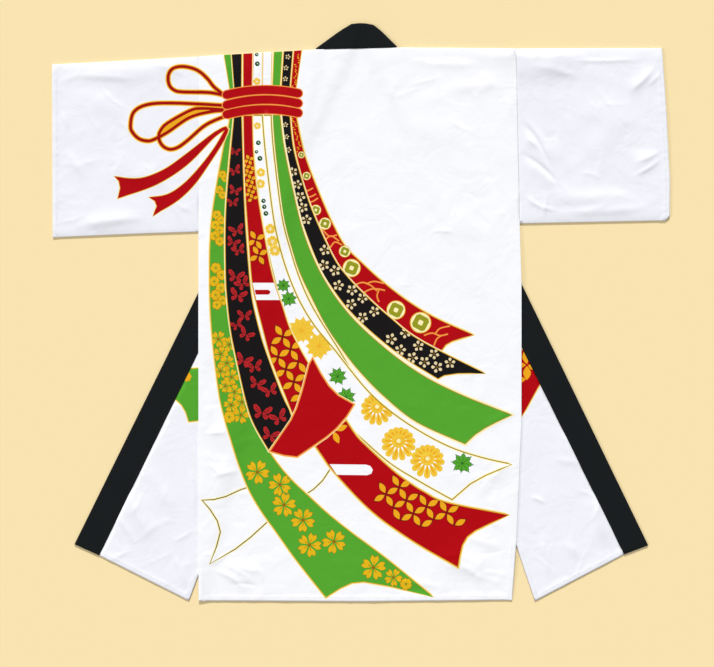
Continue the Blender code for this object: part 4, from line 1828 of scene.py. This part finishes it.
@dataclass
class Back:
    """The back panel with the print, its hem and its hemmed slits."""

    printed: Print
    cell: float = 9.6
    name: str = "back_cloth"

    def corners(self) -> list[Point]:
        """Return the panel's corners, anticlockwise."""
        points = list(BACK_TOP) + list(BACK_RIGHT[1:]) + list(BACK_HEM[1:]) + [BACK_LEFT[1]]
        return points[::-1]

    def hems(self) -> list[Line]:
        """Return the edges that are turned up and sewn."""
        return [BACK_HEM, (LEFT.slit, BACK_HEM[-1]), (RIGHT.slit, BACK_HEM[0])]

    def seams(self) -> list[Line]:
        """Return the edges that are sewn to other pieces."""
        return [BACK_TOP, (BACK_LEFT[2], LEFT.slit), BACK_RIGHT[:-1]]

    def height(self, point: Sequence[float]) -> float:
        """Return the panel's height with its hems and seams."""
        hem = min(line_distance(point, line) for line in self.hems())
        seam = min(line_distance(point, line) for line in self.seams())
        calm = folds_at(point, FINE_FOLDS) * ease(seam, (0.0, 16.0))
        return back_top(point) - calm + hem_step(hem, point) + edge_roll(hem) + seam_groove(seam, point[1])

    def build(self) -> bpy.types.Object:
        """Build the panel.

        Returns:
            The finished piece.
        """
        corners = self.corners()
        guides = []
        for line, sign in zip(self.hems(), (-1.0, 1.0, -1.0)):
            for depth in HEM_GUIDES:
                guides.append([p for p in beside(spaced(line, 7.0), depth * sign) if inside(p, corners)])
        for line, sign in zip(self.seams(), (-1.0, 1.0, -1.0)):
            for depth in SEAM_GUIDES:
                guides.append([p for p in beside(spaced(line, 6.0), depth * sign) if inside(p, corners)])
        guides = [guide for guide in guides if len(guide) > 1]
        outline = spaced(corners, 7.0, closed=True)
        cut = FlatCut(outline, self.cell, self.printed.shapes, guides, FINE_FOLDS)
        points, faces, dyes = cut.triangulate(corners)
        cloth = ClothMesh(self.name)
        cloth.add([(x, y, self.height((x, y))) for x, y in points], faces, dyes)
        return cloth.build(satin(Dye.INSIDE), WALL)


@dataclass
class Front:
    """A front: its upper part under the back, the crease and the part that is turned out."""

    side: Side
    printed: Print
    cell: float = 9.0
    bend_steps: int = 6

    @property
    def name(self) -> str:
        """Return the piece's name."""
        return f"front_{self.side.name}_cloth"

    def hems(self) -> list[Line]:
        """Return the hemmed edges of the turned-out part."""
        return [(self.side.lapel_corner, self.side.hem_corner), (self.side.slit, self.side.hem_corner)]

    def height(self, point: Sequence[float]) -> float:
        """Return the turned-out part's height with its hems.

        Args:
            point: The point.

        Returns:
            The height in millimetres.
        """
        hem = min(line_distance(point, line) for line in self.hems())
        side = self.side
        sunk = ease(-side.from_seam_edge(point), (0.5, 5.0))
        hidden = inside(point, Back(self.printed).corners())
        rise = CLOTH if hidden else lapel_top(point) + hem_step(hem, point)
        return rise + edge_roll(hem) - 0.35 * sunk

    def build(self) -> bpy.types.Object:
        """Build the front.

        Returns:
            The finished piece.
        """
        side = self.side
        crease = spaced((side.neck, side.slit), 9.0)
        low = [p for p in crease if side.from_seam_edge(p) < -3.0]
        inward = sideways(direction(side.neck, side.slit), -side.out)
        cloth = ClothMesh(self.name)

        edge = list(BACK_TOP if side is LEFT else BACK_TOP[::-1])
        top = edge[: edge.index(side.neck) + 1]
        shoulder = top[0]
        if side is LEFT:
            flank = [side.slit, shoulder]
        else:
            flank = list(BACK_RIGHT[:-1])[::-1]
        corners = [side.neck, side.slit] + flank[1:] + top[1:-1]
        outline = crease + spaced(flank, 9.0)[1:] + spaced(top, 9.0)[1:-1]
        if area(corners) < 0.0:
            corners.reverse()
            outline.reverse()
        points, faces, dyes = FlatCut(outline, self.cell * 1.6).triangulate(corners)
        cloth.add([(x, y, side.base((x, y))) for x, y in points], faces, dyes)

        rows = []
        for point in low:
            base = side.base(point)
            radius = (base - self.height(point)) / 2.0
            row = []
            for step in range(self.bend_steps + 1):
                turn = math.pi * step / self.bend_steps
                reach = radius * math.sin(turn)
                spot = (point[0] + inward[0] * reach, point[1] + inward[1] * reach)
                row.append((*spot, base - radius + radius * math.cos(turn)))
            rows.append(row)
        quads = grid_faces(len(rows), self.bend_steps)
        # The bend at the crease is the darker white, as painted shade.
        cloth.add([vertex for row in rows for vertex in row], quads, [Dye.PEARL] * len(quads))

        start, end = side.band[1][1], side.lapel_corner
        along = direction(start, end)
        away = sideways(along, -side.out)
        off = (away[0] * GAP, away[1] * GAP)
        reach = (low[0][0] - start[0]) * along[0] + (low[0][1] - start[1]) * along[1] + 4.0
        seam_top = (start[0] + along[0] * reach + off[0], start[1] + along[1] * reach + off[1])
        seam_end = (end[0] + off[0], end[1] + off[1])
        corners = [low[0], side.slit, side.hem_corner, seam_end, seam_top]
        outline = low + spaced((side.slit, side.hem_corner, seam_end, seam_top), 8.0)[1:]
        if area(corners) < 0.0:
            corners.reverse()
            outline.reverse()
        guides = []
        for line, sign in ((self.hems()[0], -1.0), (self.hems()[1], 1.0)):
            for depth in HEM_GUIDES:
                moved = beside(spaced(line, 7.0), depth * sign * side.out)
                guides.append([p for p in moved if inside(p, corners)])
        guides = [guide for guide in guides if len(guide) > 1]
        # The turned-out part's ground is the darker white, as painted shade.
        cut = FlatCut(outline, self.cell, self.printed.shapes, guides, FINE_FOLDS, Dye.PEARL)
        points, faces, dyes = cut.triangulate(corners)
        cloth.add([(x, y, self.height((x, y))) for x, y in points], faces, dyes)
        return cloth.build(satin(Dye.INSIDE), WALL, up=False)


@dataclass
class Sleeve:
    """A sleeve as a flat tube, folded at the top and sewn under the arm."""

    name: str
    top: Line
    low: Line
    cuff: Line
    shift: float
    printed: Print
    cell: float = 9.0
    bend_steps: int = 6

    def height(self, point: Sequence[float]) -> float:
        """Return the upper layer's height with its cuff hem and its seam.

        Args:
            point: The point.

        Returns:
            The height in millimetres.
        """
        hem = line_distance(point, self.cuff)
        seam = abs(point[0] - self.seam_x(point[1]))
        fold = min(line_distance(point, self.top), line_distance(point, self.low))
        rest = 2.0 * CLOTH + GAP
        rise = (sleeve_top(point) - rest) * (1.0 - ease(fold, (0.0, 14.0)))
        edge = 0.35 * ease(hem, (0.0, 2.0))
        return rest + rise + hem_step(hem, point) - edge + seam_groove(seam, point[1])

    def inset(self, line: Line, depth: float, corners: Line) -> list[Point]:
        """Return the line moved into the panel by the depth, without the points that fall outside."""
        moved = beside(line, -depth)
        if not inside(moved[len(line) // 2], corners):
            moved = beside(line, depth)
        return [p for p in moved if inside(p, corners)]

    def seam_x(self, y: float) -> float:
        """Return where the body's side is at that height."""
        (ax, ay), (bx, by) = (self.top[-1], self.low[0]) if self.shift < 0.0 else (self.top[0], self.low[-1])
        return ax + (bx - ax) * (y - ay) / (by - ay)

    def build(self) -> bpy.types.Object:
        """Build the tube.

        Returns:
            The finished piece.
        """
        outer = CLOTH + GAP / 2.0
        top = [(x + self.shift, y - outer) for x, y in spaced(self.top, 8.0)]
        low = [(x + self.shift, y + outer) for x, y in spaced(self.low, 8.0)]
        cuff = [(x + self.shift, y) for x, y in spaced(self.cuff, 7.0)][1:-1]
        seam = spaced((top[-1], low[0]) if self.shift < 0.0 else (low[-1], top[0]), 7.0)[1:-1]
        outline = top + seam + low + cuff if self.shift < 0.0 else top + cuff + low + seam
        bends = [(x + self.shift, y) for x, y in self.cuff[1:-1]]
        corners = [top[0], top[-1]] + bends + [low[0], low[-1]]
        if area(outline) < 0.0:
            outline.reverse()
            corners.reverse()
        line = [(x + self.shift, y) for x, y in spaced(self.cuff, 4.0)]
        guides = [self.inset(line, depth, corners) for depth in HEM_GUIDES]
        line = spaced((top[-1], low[0]) if self.shift < 0.0 else (low[-1], top[0]), 6.0)
        guides += [self.inset(line, depth, corners) for depth in SEAM_GUIDES]
        # The sleeve's ground and its lower layer are the darker white, as painted shade.
        cut = FlatCut(outline, self.cell, self.printed.shapes, guides, FINE_FOLDS, Dye.PEARL)
        points, faces, dyes = cut.triangulate(corners)
        lower = FlatCut(outline, self.cell * 1.8, ground=Dye.PEARL)
        under, under_faces, under_dyes = lower.triangulate(corners)
        cloth = ClothMesh(self.name)
        cloth.add([(x, y, self.height((x, y))) for x, y in points], faces, dyes)
        cloth.add([(x, y, FLOOR_GAP) for x, y in under], [f[::-1] for f in under_faces], under_dyes)
        for line, sign in ((top, 1.0), (low, -1.0)):
            rows = []
            for point in line:
                high, row = self.height(point), []
                for step in range(self.bend_steps + 1):
                    turn = math.pi * step / self.bend_steps
                    rise = FLOOR_GAP + (high - FLOOR_GAP) / 2.0 * (1.0 + math.cos(turn))
                    row.append((point[0], point[1] + outer * math.sin(turn) * sign, rise))
                rows.append(row)
            quads = grid_faces(len(rows), self.bend_steps)
            # The sleeve's folded edges are the darker white, as painted shade.
            cloth.add([vertex for row in rows for vertex in row], quads, [Dye.PEARL] * len(quads))
        return cloth.build(satin(Dye.INSIDE), WALL)


@dataclass
class Collar:
    """The doubled black band from hem to hem, turned under at both slanted neck folds."""

    name: str = "collar_band"
    columns: int = 8
    rows: int = 110
    bend_steps: int = 8

    def finish(self) -> bpy.types.Material:
        """Return the black cloth of the band."""
        return ClothFinish(
            "band_black",
            (15, 19, 21),
            lustre=0.8,
            threads=900.0,
            relief=0.00008,
            crinkle=0.001,
            specular=0.15,
            sheen=0.03,
        ).material()

    def build(self) -> bpy.types.Object:
        """Build the band.

        Returns:
            The finished piece.
        """
        outer = BAND + GAP / 2.0
        count = self.columns

        def across(pair: tuple[Point, Point]) -> list[Point]:
            """Return even points across the band."""
            (ax, ay), (bx, by) = pair
            return [(ax + (bx - ax) * i / count, ay + (by - ay) * i / count) for i in range(count + 1)]

        folds = []
        for side in (LEFT, RIGHT):
            normal = sideways(direction(*side.band[2]), side.out)
            folds.append((normal, [(x - outer / normal[0], y + SEAM) for x, y in across(side.band[2])]))

        def band_rows(side: Side, fold: list[Point]) -> list[list[Point]]:
            """Return the rows from the hem to the neck fold.

            Args:
                side: The side that the band is on.
                fold: Its row at the neck fold.

            Returns:
                The rows.
            """
            hem, bend = across(side.band[0]), across(side.band[1])
            result = [hem]
            for first, last, number in ((hem, bend, self.rows), (bend, fold, 10)):
                for i in range(1, number + 1):
                    t = i / number
                    result.append([
                        (ax + (bx - ax) * t, ay + (by - ay) * t) for (ax, ay), (bx, by) in zip(first, last)
                    ])
            return result

        def lift(point: Point) -> float:
            """Return the slight unevenness of the band's lie."""
            return 0.25 * (noise.noise(Vector((point[0] / 60.0, point[1] / 60.0, 9.0))) + 1.0)

        def lying(row: list[Point]) -> list[tuple[float, float, float]]:
            """Return a row of the band that lies on the table."""
            return [(*p, FLOOR_GAP + (0.0 if p[1] > BAND_SHOWN_Y else lift(p))) for p in row]

        taper = [1.0] * (count - 2) + [0.85, 0.5, 0.05]

        def bend_row(normal: Point, fold: list[Point], step: int) -> list[tuple[float, float, float]]:
            """Return a row of the round turn at a neck fold.

            Args:
                normal: Direction in which the band turns over.
                fold: The fold.
                step: The row's number.

            Returns:
                The row.
            """
            turn = math.pi * step / self.bend_steps
            reach, rise = outer * math.sin(turn), outer * (1.0 - math.cos(turn))
            return [
                (x + normal[0] * reach * part, y + normal[1] * reach * part, rise)
                for (x, y), part in zip(fold, taper)
            ]

        (left_normal, left_fold), (right_normal, right_fold) = folds
        table = [lying(row) for row in band_rows(LEFT, left_fold)]
        table += [bend_row(left_normal, left_fold, step) for step in range(1, self.bend_steps)]
        steps = 26
        for i in range(steps + 1):
            part = i / steps
            row = []
            for j, ((ax, ay), (bx, by)) in enumerate(zip(left_fold, right_fold)):
                bow = 2.6 * math.sin(math.pi * part) * j / count
                point = (ax + (bx - ax) * part, ay + (by - ay) * part + bow)
                sag = (BAND + GAP - neck_base(point)) * math.sin(math.pi * part)
                row.append((*point, 2.0 * outer - sag))
            table.append(row)
        table += [bend_row(right_normal, right_fold, step) for step in range(self.bend_steps - 1, 0, -1)]
        table += [lying(row) for row in reversed(band_rows(RIGHT, right_fold))]
        mesh = bpy.data.meshes.new(self.name)
        vertices = [Vector(vertex) * MM for row in table for vertex in row]
        mesh.from_pydata(vertices, [], grid_faces(len(table), count))
        mesh.materials.append(self.finish())
        work = bmesh.new()
        work.from_mesh(mesh)
        bmesh.ops.recalc_face_normals(work, faces=work.faces)
        top = max(work.faces, key=lambda f: f.calc_center_median().z)
        if top.normal.z < 0.0:
            bmesh.ops.reverse_faces(work, faces=work.faces)
        for face in work.faces:
            face.smooth = True
        work.to_mesh(mesh)
        work.free()
        piece = linked(self.name, mesh)
        wall = piece.modifiers.new("wall", "SOLIDIFY")
        wall.thickness = (BAND - 0.1) * MM
        wall.offset = -1.0
        wall.use_even_offset = True
        rounding = piece.modifiers.new("rounding", "BEVEL")
        rounding.width = 0.7 * MM
        rounding.segments = 3
        rounding.limit_method = "ANGLE"
        rounding.angle_limit = math.radians(50.0)
        return settled(piece)


# Stitching


@dataclass(frozen=True)
class StitchRow:
    """A row of stitches along a line on the cloth."""

    points: list[tuple[float, float, float]]


@dataclass
class Stitching:
    """Rows of small stitches laid along paths by a Geometry Nodes tree."""

    name: str
    colour: tuple[int, int, int]
    pitch: float = 3.2
    length: float = 2.3
    width: float = 0.55
    rows: list[StitchRow] = field(default_factory=list)

    def follow(self, line: Line, height: Callable[[Sequence[float]], float]) -> None:
        """Add a row along a line at the cloth's height."""
        self.rows.append(StitchRow([(x, y, height((x, y)) + 0.06) for x, y in spaced(line, 4.0)]))

    def tree(self, thread: bpy.types.Material) -> bpy.types.NodeTree:
        """Build the tree that sets stitches along curves.

        Args:
            thread: The thread's material.

        Returns:
            The tree, with pitch, length and width inputs.
        """
        tree = bpy.data.node_groups.new(f"{self.name}_rows", "GeometryNodeTree")
        face = tree.interface
        face.new_socket("Geometry", in_out="INPUT", socket_type="NodeSocketGeometry")
        for label in ("Pitch", "Length", "Width"):
            face.new_socket(label, in_out="INPUT", socket_type="NodeSocketFloat")
        face.new_socket("Geometry", in_out="OUTPUT", socket_type="NodeSocketGeometry")
        come, leave = add_node(tree, "NodeGroupInput"), add_node(tree, "NodeGroupOutput")
        curve = add_node(tree, "GeometryNodeMeshToCurve")
        even = add_node(tree, "GeometryNodeResampleCurve", mode="LENGTH")
        bead = add_node(tree, "GeometryNodeMeshUVSphere", {"Segments": 6, "Rings": 4, "Radius": 0.5})
        size = add_node(tree, "ShaderNodeCombineXYZ")
        shape = add_node(tree, "GeometryNodeTransform")
        tangent = add_node(tree, "GeometryNodeInputTangent")
        turn = add_node(tree, "FunctionNodeAlignRotationToVector", axis="X")
        lay = add_node(tree, "GeometryNodeInstanceOnPoints")
        real = add_node(tree, "GeometryNodeRealizeInstances")
        paint = add_node(tree, "GeometryNodeSetMaterial")
        paint.inputs["Material"].default_value = thread
        wire(
            tree,
            (come, "Geometry", curve, "Mesh"),
            (curve, "Curve", even, "Curve"),
            (come, "Pitch", even, "Length"),
            (come, "Length", size, "X"),
            (come, "Width", size, "Y"),
            (come, "Width", size, "Z"),
            (bead, "Mesh", shape, "Geometry"),
            (size, "Vector", shape, "Scale"),
            (tangent, "Tangent", turn, "Vector"),
            (even, "Curve", lay, "Points"),
            (shape, "Geometry", lay, "Instance"),
            (turn, "Rotation", lay, "Rotation"),
            (lay, "Instances", real, "Geometry"),
            (real, "Geometry", paint, "Geometry"),
            (paint, "Geometry", leave, "Geometry"),
        )
        return tree

    def build(self) -> bpy.types.Object:
        """Build all rows as one mesh.

        Returns:
            The finished piece.
        """
        vertices, edges = [], []
        for row in self.rows:
            first = len(vertices)
            vertices += [Vector(p) * MM for p in row.points]
            edges += [(i, i + 1) for i in range(first, len(vertices) - 1)]
        mesh = bpy.data.meshes.new(self.name)
        mesh.from_pydata(vertices, edges, [])
        piece = linked(self.name, mesh)
        thread = ClothFinish(f"{self.name}_thread", self.colour, lustre=0.5, threads=4000.0).material()
        tree = self.tree(thread)
        sew = piece.modifiers.new("sew", "NODES")
        sew.node_group = tree
        sizes = {"Pitch": self.pitch, "Length": self.length, "Width": self.width}
        for item in tree.interface.items_tree:
            if item.item_type == "SOCKET" and item.in_out == "INPUT" and item.name in sizes:
                sew[item.identifier] = sizes[item.name] * MM
        settled(piece)
        if not piece.data.materials:
            piece.data.materials.append(thread)
        return piece


# Studio


@dataclass
class Studio:
    """The pale surface under the coat, soft light from above and the camera straight over it."""

    width: float = 714.0 * LAYOUT_STEP * MM
    lens: float = 100.0

    def lamp(self, name: str, place: tuple[float, float, float], strength: float, angle: float) -> None:
        """Add a broad even light.

        Args:
            name: Its name.
            place: Where it comes from.
            strength: Its strength.
            angle: How broad it looks, in radians.
        """
        lamp = bpy.data.lights.new(name, "SUN")
        lamp.energy = strength
        lamp.angle = angle
        light = linked(name, lamp)
        light.location = place
        light.rotation_mode = "QUATERNION"
        light.rotation_quaternion = (-Vector(place)).to_track_quat("-Z", "Y")

    def build(self) -> None:
        """Build the floor, the lights and the camera."""
        scene = bpy.context.scene
        mesh = bpy.data.meshes.new("studio_floor")
        size, depth = 6.0, -0.0004
        corners = ((-size, -size), (size, -size), (size, size), (-size, size))
        mesh.from_pydata([(x, y, depth) for x, y in corners], [], [(0, 1, 2, 3)])
        paper = bpy.data.materials.new("studio_paper")
        paper.use_nodes = True
        shader = paper.node_tree.nodes["Principled BSDF"]
        shader.inputs["Base Color"].default_value = linear((248, 226, 174))
        shader.inputs["Roughness"].default_value = 0.9
        shader.inputs["Specular IOR Level"].default_value = 0.1
        mesh.materials.append(paper)
        linked("studio_floor", mesh)

        world = bpy.data.worlds.new("studio_world")
        scene.world = world
        world.use_nodes = True
        world.node_tree.nodes["Background"].inputs["Color"].default_value = (0.95, 0.96, 1.0, 1.0)
        world.node_tree.nodes["Background"].inputs["Strength"].default_value = 0.455
        self.lamp("key", (-0.2, 2.9, 1.6), 3.1, 0.12)
        self.lamp("side", (-2.6, -0.2, 1.7), 0.6, 0.3)
        scene.view_settings.view_transform = "Standard"
        scene.view_settings.look = "None"

        lens = bpy.data.cameras.new("camera")
        lens.lens = self.lens
        lens.sensor_width = 36.0
        lens.clip_end = 50.0
        middle = at(357.0, 333.5)
        camera = linked("camera", lens)
        camera.location = (middle[0] * MM, middle[1] * MM, self.width * self.lens / 36.0 + 0.002)
        scene.camera = camera


# Coat


@dataclass
class HappiCoat:
    """The whole coat, piece by piece."""

    pieces: list[bpy.types.Object] = field(default_factory=list)

    def keep(self, piece: bpy.types.Object, node: str | None) -> bpy.types.Object:
        """Tie a piece to the coat's body.

        Args:
            piece: The piece.
            node: The CAD node that it stands for, if any.

        Returns:
            The piece.
        """
        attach(piece, "root")
        if node:
            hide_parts(node)
        self.pieces.append(piece)
        log.info("%s: %d faces", piece.name, len(piece.data.polygons))
        return piece

    def build(self) -> None:
        """Build every piece and its stitches."""
        art = BundlePrint().build()
        back = Back(art.upper)
        back_cloth = self.keep(back.build(), "back")
        fronts = []
        for side, printed in ((LEFT, art.left_front), (RIGHT, art.right_front)):
            front, node = Front(side, printed), f"front_{side.name}"
            fronts.append((front, self.keep(front.build(), node)))
        sleeves = []
        for sleeve in (
            Sleeve(
                "sleeve_left_cloth",
                ((-619.9, 497.5), (-483.7, 504.6), (-326.1, 513.4)),
                ((-326.1, 162), (-439.5, 158.2), (-618.6, 150.5)),
                ((-618.6, 150.5), (-619.9, 497.5)),
                -SEAM / 5.0,
                art.upper,
            ),
            Sleeve(
                "sleeve_right_cloth",
                ((310.7, 529.6), (460, 530.3), (604.1, 530.5)),
                ((611.5, 184.4), (318.1, 178.4)),
                ((604.1, 530.5), (613, 400), (619.9, 265.7), (619.3, 193.5), (611.5, 184.4)),
                SEAM / 5.0,
                Print(),
            ),
        ):
            node = sleeve.name.removesuffix("_cloth")
            sleeves.append((sleeve, self.keep(sleeve.build(), node)))
        band = self.keep(Collar().build(), "collar")
        self.stitch(back, [front for front, _ in fronts], [sleeve for sleeve, _ in sleeves])

    def stitch(self, back: Back, fronts: list[Front], sleeves: list[Sleeve]) -> None:
        """Sew the hems, the cuffs and the collar's edge.

        Args:
            back: The back.
            fronts: Both fronts.
            sleeves: Both sleeves.
        """
        white = Stitching("white_stitches", (214, 214, 224))
        depth = HEM_DEPTH - 1.2
        white.follow(beside(spaced(BACK_HEM, 20.0), -depth)[1:-1], back.height)
        white.follow(beside((LEFT.slit, BACK_HEM[-1]), depth), back.height)
        white.follow(beside((RIGHT.slit, BACK_HEM[0]), -depth), back.height)
        for front in fronts:
            side = front.side
            hem, slit = front.hems()
            white.follow(beside(spaced(hem, 20.0), -depth * side.out)[1:-1], front.height)
            white.follow(beside(spaced(slit, 20.0), depth * side.out)[1:], front.height)
        for sleeve in sleeves:
            white.follow(beside(spaced(sleeve.cuff, 20.0), -depth)[1:-1], sleeve.height)
        self.keep(white.build(), None)
        black = Stitching("black_stitches", (44, 46, 50), pitch=3.4, length=2.6, width=0.5)
        for side in (LEFT, RIGHT):
            start, end = side.band[1][1], side.band[0][1]
            size, along = math.dist(start, end), direction(start, end)
            away = sideways(along, side.out)
            inner = (away[0] * 3.0, away[1] * 3.0)
            line = [
                (start[0] + along[0] * t + inner[0], start[1] + along[1] * t + inner[1])
                for t in (size * side.shown_from, size - 2.0)
            ]
            black.follow(line, lambda point: BAND + 0.25)
        self.keep(black.build(), None)


def main() -> None:
    """Build the coat and the studio."""
    logging.basicConfig(level=logging.INFO, format="%(message)s")
    HappiCoat().build()
    Studio().build()


if __name__ == "__main__":
    main()
